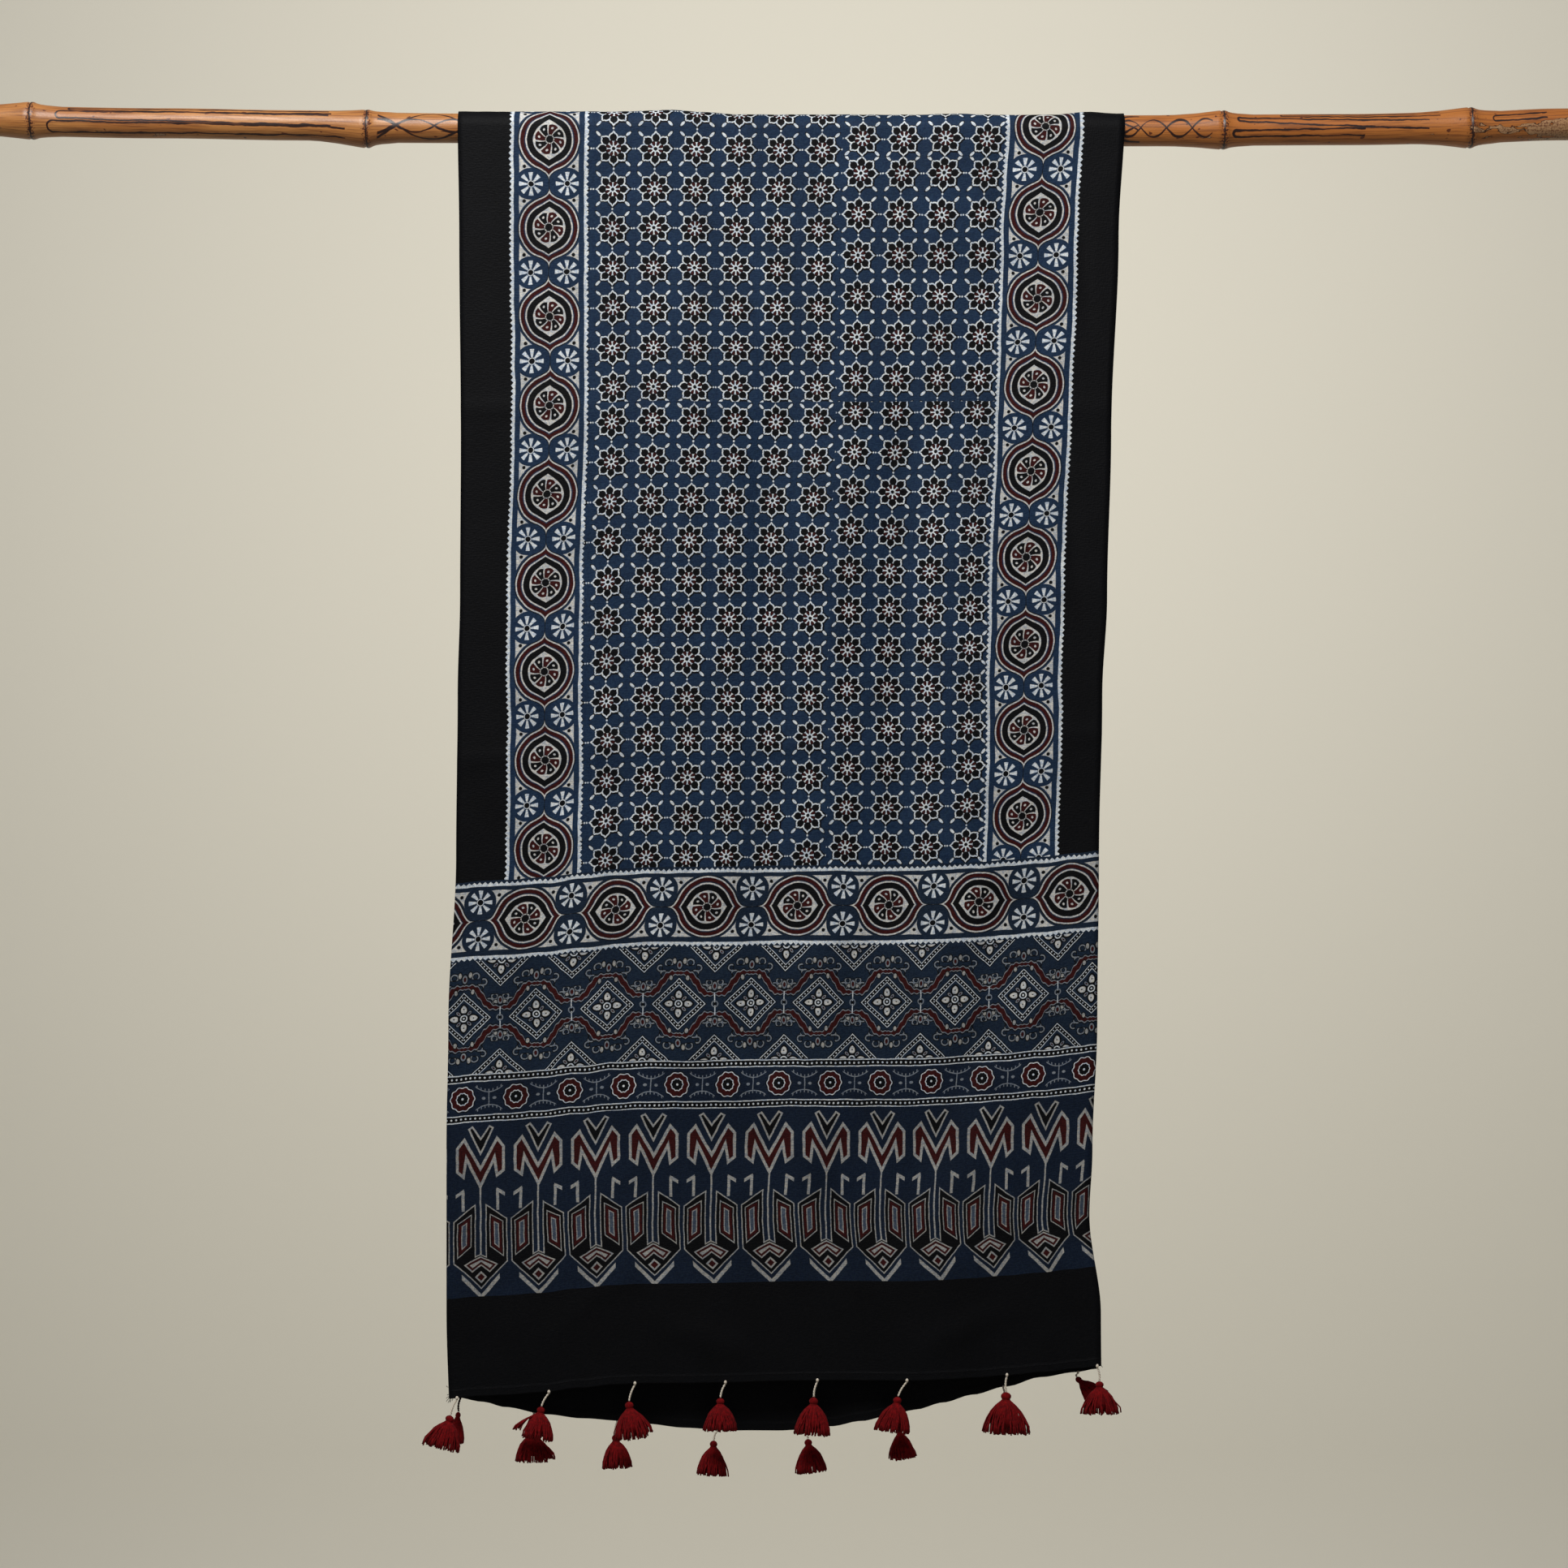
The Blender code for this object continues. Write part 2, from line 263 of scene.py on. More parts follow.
def read_table(rows, column, at):
    """The value in a column, eased between the rows on either side of a place in the first column."""
    if at <= rows[0][0]:
        return rows[0][column]
    for low, high in zip(rows, rows[1:]):
        if at <= high[0]:
            share = (at - low[0]) / (high[0] - low[0])
            eased = share * share * (3 - 2 * share)
            return low[column] + (high[column] - low[column]) * eased
    return rows[-1][column]


def ramp(value, start, end):
    """0 before start, 1 after end, and a smooth climb between."""
    share = min(max((value - start) / (end - start), 0), 1)
    return share * share * (3 - 2 * share)


def pole_height(x):
    """Height of the culm's axis at x."""
    return read_table(CULM, 1, x)


def wrap_radius(x):
    """Radius of the sheet's middle surface over the pole, which rides up over the rings."""
    rise = sum(ring[1] * math.exp(-(((x - ring[0]) / RING_SPREAD) ** 2)) for ring in POLE_NODES)
    return read_table(CULM, 2, x) + WRAP_GAP + SHEET_THICKNESS / 2 + rise


def fold_height(folds, across, fall):
    """How far the broad folds push the cloth outwards."""
    total = 0
    for top, bottom, starts, ends, half_width, height in folds:
        centre = top + (bottom - top) * fall
        bell = math.exp(-(((across - centre) / half_width) ** 2))
        shown = ramp(fall, starts, starts + FOLD_FADE) * (1 - ramp(fall, ends - FOLD_FADE, ends))
        total += height * bell * shown
    return total


def crease_height(x, height, across, side):
    """How far the small creases and the packing creases push the cloth outwards."""
    total = 0
    shift = 0 if side < 0 else BACK_CREASE_SHIFT
    for middle_x, middle_z, half_length, lean, half_width, rise in FRONT_CREASES:
        away = x + shift * side - middle_x
        above = height - middle_z
        turn = math.radians(lean)
        along = above * math.cos(turn) + away * math.sin(turn)
        beside = away * math.cos(turn) - above * math.sin(turn)
        if abs(along) < 2.5 * half_length and abs(beside) < 3 * half_width:
            shape = math.exp(-((beside / half_width) ** 2) - (along / half_length) ** 4)
            total += rise * shape
    for left, right, half_width, rise in PACKING_CREASES:
        away = height - (left + (right - left) * across)
        ridge = math.exp(-abs(away) / half_width)
        shoulder = 0.5 * math.exp(-((away / CREASE_SHOULDER) ** 2))
        total += rise * (ridge + shoulder)
    return total


def pucker_height(x, height, side):
    """Small uneven waves all over the cloth."""
    total = 0
    for size, rise in PUCKER_ROWS:
        total += rise * noise.noise(Vector((x / size, 11.3 * side, 0.6 * height / size)))
    return total


def edge_x(across, height, tuck):
    """x at a share of the width, with the edges drawn in by tuck."""
    rows = [(-row[0], row[1] + tuck, row[2] - tuck) for row in EDGES]
    left = read_table(rows, 1, -height)
    right = read_table(rows, 2, -height)
    return left + (right - left) * across


def hanging_point(across, height, side, bottom):
    """A point on the front layer (side -1) or the back layer (side 1) at a height."""
    at_pole = edge_x(across, 0, 0)
    top = pole_height(at_pole)
    fall = (top - height) / (top - bottom)
    tuck = 0 if side < 0 else BACK_TUCK * ramp(fall, 0, 0.2)
    folds = FRONT_FOLDS if side < 0 else BACK_FOLDS
    x = edge_x(across, height, tuck)
    out = wrap_radius(at_pole) * (1 - NARROWING * fall) + fold_height(folds, across, fall)
    small = crease_height(x, height, across, side) + pucker_height(x, height, side)
    return Vector((x, side * (out + small * ramp(fall, 0, 0.02)), height))


def wrapped_point(across, turn):
    """A point on the bend over the pole: turn runs from 0 at the front to 1 at the back."""
    x = edge_x(across, 0, 0)
    angle = math.pi * turn
    lift = read_table(LIFT, 1, x) * math.sin(angle) ** 2
    pucker = noise.noise(Vector((x / WRAP_PUCKER_SIZE, 3 * turn, 4.0)))
    small = WRAP_PUCKER * pucker * math.sin(angle)
    radius = wrap_radius(x) + lift + max(small, -0.3)
    return Vector((x, -radius * math.cos(angle), pole_height(x) + radius * math.sin(angle)))


def even_steps(low, high, step):
    """Places from low up to but not including high, about a step apart."""
    count = max(1, round((high - low) / step))
    return [low + (high - low) * i / count for i in range(count)]


def layer_rows():
    """Every row of one hanging layer, hem first: (distance up from the hem or None, share, v)."""
    rows = [(up, None, up) for up in HEM_ROWS]
    for low, high in zip(PANEL_STEPS, PANEL_STEPS[1:]):
        rows += [(up, None, up) for up in even_steps(max(low, HEM_ROWS[-1] + 3), high, ROW_STEP)]
    for share in even_steps(0, 1, ROW_STEP / (V_AT_POLE - TOP_OF_PANEL)):
        rows.append((None, share, TOP_OF_PANEL + share * (V_AT_POLE - TOP_OF_PANEL)))
    return rows


def row_height(row, top, bottom):
    """The height of a row on one column of the cloth."""
    up, share, _ = row
    if up is not None:
        return bottom + up
    return bottom + TOP_OF_PANEL + share * (top - bottom - TOP_OF_PANEL)


def columns_across():
    """Shares of the width of every column of the cloth."""
    left = (MIDDLE - INNER_STRIPE) / PRINT_WIDTH
    right = (MIDDLE + INNER_STRIPE) / PRINT_WIDTH
    step = COLUMN_STEP / PRINT_WIDTH
    return even_steps(0, left, step) + even_steps(left, right, step) + even_steps(right, 1, step) + [1]


def print_drift(v, side):
    """How far the printed stripes wander sideways along the cloth."""
    slow = math.sin(v / 44.0 + 0.9 * side)
    slower = math.sin(v / 97.0 + 2.1 + side)
    return (0.9 * slow + 1.2 * slower) * ramp(v, 380, 470)


def region_of(v, across):
    """The printed region of a face, as the number of its material slot."""
    for number, top in enumerate(PANEL_STEPS[1:]):
        if v < top:
            return number
    inside = abs(across * PRINT_WIDTH - MIDDLE) < INNER_STRIPE
    return 6 if inside else 5


def add_object(name, data):
    """An object for some data, at the origin and in the scene."""
    thing = bpy.data.objects.new(name, data)
    bpy.context.scene.collection.objects.link(thing)
    return thing


def build_cloth(materials):
    """The whole stole: one sheet, front hem to back hem, with the print's own map."""
    columns = columns_across()
    rows = layer_rows()
    tops = [pole_height(edge_x(across, 0, 0)) for across in columns]
    lines = []
    for side, column in ((-1, 1), (1, 2)):
        bottoms = [read_table(HEMS, column, across) for across in columns]
        layer = []
        for row in rows:
            points = [
                hanging_point(across, row_height(row, top, bottom), side, bottom)
                for across, top, bottom in zip(columns, tops, bottoms)
            ]
            layer.append((points, row[2], side))
        if side < 0:
            lines += layer
            for i in range(WRAP_ROWS + 1):
                turn = i / WRAP_ROWS
                reach = BEND_RADIUS * math.pi * min(turn, 1 - turn)
                here = -1 if turn <= 0.5 else 1
                lines.append(([wrapped_point(a, turn) for a in columns], V_AT_POLE + reach, here))
        else:
            lines += reversed(layer)
    width = len(columns)
    vertices = [point * MM for points, _, _ in lines for point in points]
    faces = []
    for i in range(len(lines) - 1):
        for j in range(width - 1):
            corner = i * width + j
            faces.append((corner, corner + 1, corner + width + 1, corner + width))
    mesh = bpy.data.meshes.new("ajrakh_stole")
    mesh.from_pydata(vertices, [], faces)
    for material in materials:
        mesh.materials.append(material)
    print_map = mesh.uv_layers.new(name="print")
    in_hem = [v <= HEM_DEPTH for _, v, _ in lines for _ in columns]
    for face in mesh.polygons:
        i, j = divmod(face.index, width - 1)
        low, high = sorted((lines[i][1], lines[i + 1][1]))
        face.material_index = region_of((low + high) / 2, (columns[j] + columns[j + 1]) / 2)
        face.use_smooth = True
        for loop in face.loop_indices:
            row, column = divmod(mesh.loops[loop].vertex_index, width)
            across, v, side = columns[column], lines[row][1], lines[row][2]
            u = across * PRINT_WIDTH + print_drift(v, side)
            print_map.data[loop].uv = (u * MM, v * MM)
    stole = add_object("ajrakh_stole", mesh)
    thick = stole.vertex_groups.new(name="cloth_thickness")
    for index, turned in enumerate(in_hem):
        thick.add([index], 1.0 if turned else SINGLE_SHARE, "REPLACE")
    bpy.ops.object.select_all(action="DESELECT")
    bpy.context.view_layer.objects.active = stole
    stole.select_set(True)
    solid = stole.modifiers.new("thickness", "SOLIDIFY")
    solid.thickness = HEM_THICKNESS * MM
    solid.offset = 0
    solid.vertex_group = "cloth_thickness"
    bpy.ops.object.modifier_apply(modifier="thickness")
    return stole


# ---------------------------------------------------------------------------------------------------
# Inks and the way the print is drawn. Distances are in millimetres on the cloth.

INKS = {
    "indigo": (0.0138, 0.033, 0.0705),
    "night_indigo": (0.0112, 0.0225, 0.0425),
    "deep_indigo": (0.0080, 0.0155, 0.032),
    "resist_white": (0.76, 0.79, 0.79),
    "cream": (0.66, 0.64, 0.59),
    "dull_cream": (0.40, 0.385, 0.35),
    "grey_blue": (0.07, 0.09, 0.12),
    "madder": (0.046, 0.0050, 0.0048),
    "black": (0.0026, 0.0027, 0.0036),
    "faint_white": (0.24, 0.26, 0.28),
    "honey": (0.55, 0.235, 0.066),
    "amber": (0.38, 0.130, 0.030),
    "orange": (0.50, 0.150, 0.022),
    "russet": (0.13, 0.032, 0.010),
    "peeled": (0.52, 0.29, 0.14),
    "burnt": (0.022, 0.008, 0.006),
}
EDGE_SOFTNESS = 0.4


class Measure:
    """A number that nodes work out all over the cloth, so that a shape can be written as a sum."""

    def __init__(self, tree, socket):
        self.tree = tree
        self.socket = socket

    def work(self, operation, *others):
        node = add_node(self.tree, "ShaderNodeMath")
        node.operation = operation
        for slot, value in zip(node.inputs, (self, *others)):
            plug(self.tree, value, slot)
        return Measure(self.tree, node.outputs[0])

    def __add__(self, other):
        return self.work("ADD", other)

    def __sub__(self, other):
        return self.work("SUBTRACT", other)

    def __rsub__(self, other):
        return self.work("MULTIPLY_ADD", -1, other)

    def __mul__(self, other):
        return self.work("MULTIPLY", other)

    def __abs__(self):
        return self.work("ABSOLUTE")

    def __neg__(self):
        return self.work("MULTIPLY", -1)

    def times_plus(self, factor, extra):
        return self.work("MULTIPLY_ADD", factor, extra)

    def above(self, limit):
        return self.work("GREATER_THAN", limit)

    def at_least(self, limit):
        return self.work("MAXIMUM", limit)

    def between(self, low, high):
        return self.at_least(low).work("MINIMUM", high)

    def repeat(self, pitch, first=0.0):
        """The distance from the nearest repeat, from minus half a pitch to half a pitch."""
        return (self - first).work("WRAP", pitch / 2, -pitch / 2)

    def zigzag(self, half):
        return self.work("PINGPONG", half)


def add_node(tree, kind):
    """A node, set out in columns so that the tree can be read."""
    node = tree.nodes.new(kind)
    count = len(tree.nodes)
    node.location = (220 * (count // 24), -170 * (count % 24))
    return node


def plug(tree, value, slot):
    """Links a measure or a socket, or sets a plain value."""
    if isinstance(value, Measure):
        tree.links.new(value.socket, slot)
    elif isinstance(value, bpy.types.NodeSocket):
        tree.links.new(value, slot)
    else:
        slot.default_value = value


def most(first, *others):
    """The highest of some measures: where all their shapes overlap."""
    for other in others:
        first = first.work("MAXIMUM", other)
    return first


def least(first, *others):
    """The lowest of some measures: where any of their shapes lies."""
    for other in others:
        first = first.work("MINIMUM", other)
    return first


def length(across, along):
    """Distance from the origin of two measures."""
    join = add_node(across.tree, "ShaderNodeCombineXYZ")
    plug(across.tree, across, join.inputs[0])
    plug(across.tree, along, join.inputs[1])
    size = add_node(across.tree, "ShaderNodeVectorMath")
    size.operation = "LENGTH"
    across.tree.links.new(join.outputs[0], size.inputs[0])
    return Measure(across.tree, size.outputs["Value"])


class Artwork:
    """The colours of one printed region, laid one over another."""

    def __init__(self, tree, ground):
        self.tree = tree
        self.colour = (*INKS[ground], 1)

    def lay(self, distance, *bands, softness=EDGE_SOFTNESS):
        """Prints inks by distance. A band is (its upper distance, ink), and None leaves what is there."""
        low, high = bands[0][0] - 2 * softness, bands[-1][0] + 2 * softness
        node = add_node(self.tree, "ShaderNodeValToRGB")
        stops = [(low, bands[0][1], bands[0][1])]
        inks = [ink for _, ink in bands] + [None]
        for (limit, ink), after in zip(bands, inks[1:]):
            stops.append((limit - softness / 2, ink, ink or after))
            stops.append((limit + softness / 2, after, after or ink))
        elements = node.color_ramp.elements
        elements.remove(elements[1])
        for number, (place, ink, tint) in enumerate(stops):
            share = (place - low) / (high - low)
            stop = elements[0] if number == 0 else elements.new(share)
            stop.position = share
            stop.color = (*INKS[tint], 1 if ink else 0)
        plug(self.tree, distance.times_plus(1 / (high - low), -low / (high - low)), node.inputs[0])
        self.mix(node.outputs["Color"], node.outputs["Alpha"])

    def mix(self, colour, share, blend="MIX"):
        """Lays a colour over what is there, by a share."""
        node = add_node(self.tree, "ShaderNodeMix")
        node.data_type = "RGBA"
        node.blend_type = blend
        plug(self.tree, share, node.inputs[0])
        plug(self.tree, self.colour, node.inputs[6])
        plug(self.tree, colour, node.inputs[7])
        self.colour = node.outputs[2]

    def tint(self, ink, share):
        self.mix((*INKS[ink], 1), share)


def add_noise(tree, place, size, detail, roughness=0.5, stretch=None):
    """Noise whose lumps are about a size in millimetres; stretch scales the place first."""
    if stretch:
        mapping = add_node(tree, "ShaderNodeMapping")
        mapping.inputs["Scale"].default_value = stretch
        tree.links.new(place, mapping.inputs["Vector"])
        place = mapping.outputs["Vector"]
    node = add_node(tree, "ShaderNodeTexNoise")
    node.noise_dimensions = "2D"
    tree.links.new(place, node.inputs["Vector"])
    node.inputs["Scale"].default_value = 1 / size
    node.inputs["Detail"].default_value = detail
    node.inputs["Roughness"].default_value = roughness
    return node


def uneven(tree, place, size, detail, roughness=0.5, stretch=None):
    """Noise as a measure from 0 to 1."""
    return Measure(tree, add_noise(tree, place, size, detail, roughness, stretch).outputs["Fac"])


def scale_vector(tree, vector, factor, extra=(0, 0, 0)):
    """A vector times a factor, plus another."""
    node = add_node(tree, "ShaderNodeVectorMath")
    node.operation = "MULTIPLY_ADD"
    plug(tree, vector, node.inputs[0])
    node.inputs[1].default_value = (factor,) * 3
    plug(tree, extra, node.inputs[2])
    return node.outputs["Vector"]


def new_material(name):
    """A material, with its tree and its shader."""
    material = bpy.data.materials.new(name)
    material.use_nodes = True
    tree = material.node_tree
    return material, tree, tree.nodes["Principled BSDF"]


def own_map(tree, name, size, detail, roughness, reach):
    """A piece's own map in millimetres, then its two measures with a hand-drawn wander of some reach."""
    drawn_map = add_node(tree, "ShaderNodeUVMap")
    drawn_map.uv_map = name
    place = scale_vector(tree, drawn_map.outputs["UV"], 1000)
    wander = add_noise(tree, place, size, detail, roughness)
    wavy = scale_vector(tree, wander.outputs["Color"], reach, place)
    split = add_node(tree, "ShaderNodeSeparateXYZ")
    tree.links.new(wavy, split.inputs[0])
    return place, Measure(tree, split.outputs[0]) - reach / 2, Measure(tree, split.outputs[1]) - reach / 2


def add_bump(tree, shader, height, strength, depth):
    """Fine relief from a height, with its depth in metres."""
    bump = add_node(tree, "ShaderNodeBump")
    bump.inputs["Strength"].default_value = strength
    bump.inputs["Distance"].default_value = depth
    plug(tree, height, bump.inputs["Height"])
    tree.links.new(bump.outputs["Normal"], shader.inputs["Normal"])


def set_lustre(shader, sheen, sheen_roughness):
    """The dull gloss of yarn and cloth."""
    shader.inputs["Specular IOR Level"].default_value = 0.12
    shader.inputs["Sheen Weight"].default_value = sheen
    shader.inputs["Sheen Roughness"].default_value = sheen_roughness


def finish_cotton(tree, shader, place, art):
    """Gives a printed region its wear, its uneven dye, its weave and its soft lustre."""
    slubs = uneven(tree, place, 1.1, 2, 0.6, (1.0, 0.28, 1))
    grain = slubs + uneven(tree, place, 1.1, 1, 0.5, (0.28, 1.0, 1))
    wear = ((grain - 0.97) * 8.0).between(0, 0.85)
    art.mix((0.46, 0.53, 0.66, 1), wear, "MULTIPLY")
    clouds = uneven(tree, place, 38, 4, 0.6)
    flecks = uneven(tree, place, 2.6, 3, 0.7)
    tone = (clouds.times_plus(0.75, -0.45) + grain * 0.68 + flecks * 0.9).work("MINIMUM", 1.8)
    shade = add_node(tree, "ShaderNodeCombineXYZ")
    for slot in shade.inputs:
        plug(tree, tone, slot)
    art.mix(shade.outputs[0], 1.0, "MULTIPLY")
    tree.links.new(art.colour, shader.inputs["Base Color"])
    plug(tree, grain.times_plus(-0.12, 0.76), shader.inputs["Roughness"])
    add_bump(tree, shader, grain, 0.5, 0.0004)
    set_lustre(shader, 0.01, 0.45)


def printed_material(name, ground, draw):
    """A cotton material with one region of the print drawn on it."""
    material, tree, shader = new_material(name)
    place, across, up = own_map(tree, "print", 45, 5, 0.6, 3.0)
    art = Artwork(tree, ground)
    if draw:
        draw(art, across, up)
    finish_cotton(tree, shader, place, art)
    return material


def in_blocks(across, first, pitch, switch, later_pitch, width):
    """The place across one motif of a run that is stamped at one pitch and then at another."""
    count = (least(across, switch) - first) * (1 / pitch)
    later_count = (most(across, switch) - switch) * (1 / later_pitch)
    return (count + later_count).work("WRAP", 0.5, -0.5) * width


def draw_saw_tooth(art, outwards, run):
    """A white line with small triangular teeth on one side."""
    tooth = run.zigzag(2.3)
    line = most(-1.2 - outwards, outwards - tooth.times_plus(0.87, 0.5))
    art.lay(line, (0, "resist_white"))


def draw_dotted_stripe(art, across, away):
    """A black stripe with white dots along it and a white line on each side."""
    art.lay(abs(away), (2.3, "black"), (3.1, "resist_white"))
    art.lay(length(across.repeat(4.0), away), (0.8, "resist_white"))


def draw_stars(art, across, up):
    """The field: eight-pointed stars with petals inside, and small leaves between them."""
    right = across.above(RIGHT_BLOCKS)
    x = (across + right * BLOCK_STEP_ACROSS).repeat(*STAR_COLUMNS)
    high = up.above(UPPER_BLOCKS) * UPPER_STEP + up.above(TOP_BLOCKS) * right * TOP_STEP
    stretch = (up - STRETCH_FROM).at_least(0) * (right * STRETCH)
    y = (up - right * BLOCK_STEP_UP + high + stretch).repeat(*STAR_ROWS)
    beside, along = abs(x), abs(y)
    far, near = most(beside, along), least(beside, along)
    over = (near * 0.924 - far * 0.383).at_least(0)
    tip_way, aside = far + over * 0.765, near - over * 1.848
    leaf_end = (aside + (tip_way - 8.8) * 0.76 - 3.15) * 0.796
    petal = least(length(tip_way - 8.8, aside) - 3.05, most(8.8 - tip_way, leaf_end))
    outline = least(petal - 1.05, tip_way - 7.6)
    art.lay(outline - (x - y).times_plus(0.04, 0.75), (0, "black"))
    art.lay(outline, (0, "resist_white"))
    art.lay(petal, (0, "black"))
    inwards = tip_way * 0.924 + aside * 0.383
    beside_drop = aside * 0.924 - tip_way * 0.383
    drop = length((inwards - 4.6) * 0.56, abs(beside_drop) + (4.6 - inwards) * 0.2)
    art.lay(drop, (1.0, "madder"), (1.25, "black"))
    art.lay(length(x, y), (1.5, "black"))
    leaf = length((beside + along - 24.4) * 0.27, (beside - along) * 0.62)
    art.lay(leaf, (1.0, "resist_white"), (1.3, "black"))
    art.lay(length(far - 16.2, near), (0.7, "resist_white"))


def draw_stripes(art, across, up):
    """The saw-tooth stripes of the two side borders and the black bands outside them."""
    away = abs(across - MIDDLE)
    art.lay(OUTER_STRIPE - away, (0, "black"))
    draw_saw_tooth(art, away - OUTER_STRIPE, up)
    draw_saw_tooth(art, INNER_STRIPE - away, up)


def draw_field(art, across, up):
    """The stars and the saw-tooth edges of the stripes beside them."""
    draw_stars(art, across, up)
    draw_saw_tooth(art, INNER_STRIPE - abs(across - MIDDLE), up)


def draw_medallion(art, x, y, pitch, ground):
    """A wheel of petals in a pointed frame, with paddle flowers between one wheel and the next."""
    beside, along = abs(x), abs(y)
    r = length(x, y)
    point = (1 - beside * 0.115).at_least(0)
    reach = (r - 22).at_least(0)
    rise = (reach * reach).times_plus(0.040, 2.9) * point * point * r.above(12.5)
    art.lay(
        r - rise,
        (3.1, "black"),
        (13.7, "cream"),
        (18.8, "black"),
        (20.0, "cream"),
        (20.9, ground),
        (24.0, "madder"),
        (25.1, "cream"),
        (25.9, "black"),
    )
    turn = y.work("ARCTAN2", x).times_plus(8 / math.tau, r * 0.035)
    slice_place = turn.work("WRAP", 0.5, -0.5)
    rim = slice_place * slice_place * 5
    petal = most(abs(r + rim - 8.2) - 4.3, (abs(slice_place) - 0.42) * r * 0.785)
    art.lay(petal, (0, "black"))
    other = (abs(turn.work("WRAP", 1, -1)) - 0.5) * 4
    art.lay(most(petal, other), (0, "madder"))
    art.lay(length(r - 9.2, slice_place * r * 0.785), (0.95, "cream"))
    aside, between = beside - 15.1, pitch / 2 - along
    r_flower = length(aside, between)
    paddle = between.work("ARCTAN2", aside).work("WRAP", math.pi / 8, -math.pi / 8)
    flower = most(abs(r_flower - 6.5) - 3.2, abs(paddle) * r_flower - r_flower.times_plus(0.19, 0.0))
    art.lay(flower, (0, "resist_white"))
    art.lay(r_flower, (2.3, "black"), (2.9, "resist_white"))
    corner = most(27.4 - r, 13.2 - r_flower, beside - 24.6, 9 - beside)
    art.lay(corner, (0, "cream"))
    art.lay(length(beside - 20.5, along - 22), (1.5, "black"))


def draw_borders(art, across, up):
    """The long side borders: medallions one above another between saw-tooth stripes."""
    right = across.above(MIDDLE)
    side = (across - MIDDLE).work("SIGN")
    x = across - MIDDLE - side * BORDER_MIDDLE
    y = (up - right * RIGHT_BORDER_STEP).repeat(*BORDER_RUN)
    draw_medallion(art, x, y, BORDER_RUN[0], "indigo")
    draw_stripes(art, across, up)


def draw_end_medallions(art, across, up):
    """The band of medallions that lie on their sides, and its two saw-tooth stripes."""
    y = across.repeat(*END_RUN) * 0.966
    draw_medallion(art, up - 391.5, y, 74.5, "night_indigo")
    draw_saw_tooth(art, up - 420.8, across)
    draw_saw_tooth(art, 361.2 - up, across)


def draw_lattice(art, across, up):
    """Dotted diamonds with a flower in each, and a scrolling ribbon that passes between them."""
    x = in_blocks(across, *LATTICE_RUN)
    y = up - 311.8
    beside, along = abs(x), abs(y)
    width = LATTICE_RUN[-1]
    other_beside, other_along = width / 2 - beside, 47 - along
    wave = (beside * (math.tau / width)).work("COSINE")
    path = (wave * wave).times_plus(-4.6, 13.2) * wave
    slope = (beside * (math.tau / width)).work("SINE")
    steep = (slope * slope).times_plus(1.2, 1).work("INVERSE_SQRT")
    ribbon = abs(along - path - 16.8) * steep
    leafy = ribbon - (slope * slope).times_plus(1.5, (beside * 1.3).work("SINE") * 0.45)
    hanging_curl = most(abs(length(beside - 12.4, along - 24.2) - 3.0), beside - along * 0.4 - 4.6)
    crest_curl = most(abs(length(beside - 8.6, along - 33.8) - 2.8), 32.4 - along)
    far_curl = most(abs(length(beside - 15.2, along - 29.4) - 2.4), 14.6 - beside)
    low_curl = most(abs(length(other_beside - 8.2, along - 13.0) - 2.8), 11.4 - along)
    trough_curl = most(abs(length(other_beside - 4.4, along - 17.4) - 2.2), along - 18.6)
    curls = least(hanging_curl, crest_curl, far_curl, low_curl, trough_curl)
    art.lay(curls, (0.5, "faint_white"), (1.2, "black"), softness=0.25)
    art.lay(leafy, (0.9, "madder"), (1.6, "faint_white"), (2.4, "black"))
    bell = length((beside - 6.8) * 0.62, (along - 21.6) * 0.42)
    leaves = length((beside - 4.2) * 0.62, (along - 35.2) * 0.36)
    low_leaf = length((other_beside - 3.4) * 0.5, (along - 13.2) * 0.6)
    art.lay(least(bell, leaves, low_leaf), (0.8, "dull_cream"), (1.2, "black"), softness=0.25)
    bud = length(beside, (along - 32.0) * 0.6)
    low_bud = length(other_beside, (along - 14.5) * 0.6)
    art.lay(least(bud, low_bud), (1.2, "madder"), (2.0, "faint_white"), (2.7, "black"))
    line = most(other_beside - 0.35, along - 9)
    art.lay(line, (0, "resist_white"))
    art.lay(length(other_beside, along), (1.3, "black"), (1.9, None), (2.7, "faint_white"))
    here, there = beside + along, other_beside + other_along
    diamond = least(here, there)
    art.lay(
        diamond,
        (15.8, "night_indigo"),
        (16.5, "resist_white"),
        (20.5, "black"),
        (21.3, "resist_white"),
        (22.4, "black"),
    )
    chosen = here.work("LESS_THAN", there)
    inner_x = other_beside + (beside - other_beside) * chosen
    inner_y = other_along + (along - other_along) * chosen
    bead = ((inner_x - inner_y) * 0.7071).repeat(2.95)
    art.lay(length(bead, (diamond - 18.5) * 0.7071), (0.52, "resist_white"))
    far, near = most(inner_x, inner_y), least(inner_x, inner_y)
    petal = length((far - 8.0) * 0.30, near.times_plus(0.42, 0) + (far - 8.0) * 0.07)
    art.lay(petal, (0.22, "black"), (0.95, "cream"), (1.5, "black"), softness=0.18)
    bud = length((far + near - 8.8) * 0.33, (far - near) * 0.6)
    art.lay(bud, (0.5, "madder"), (1.0, "faint_white"), (1.5, "black"), softness=0.25)
    art.lay(length(inner_x, inner_y), (0.8, "resist_white"), (2.1, "black"), (3.0, "resist_white"))


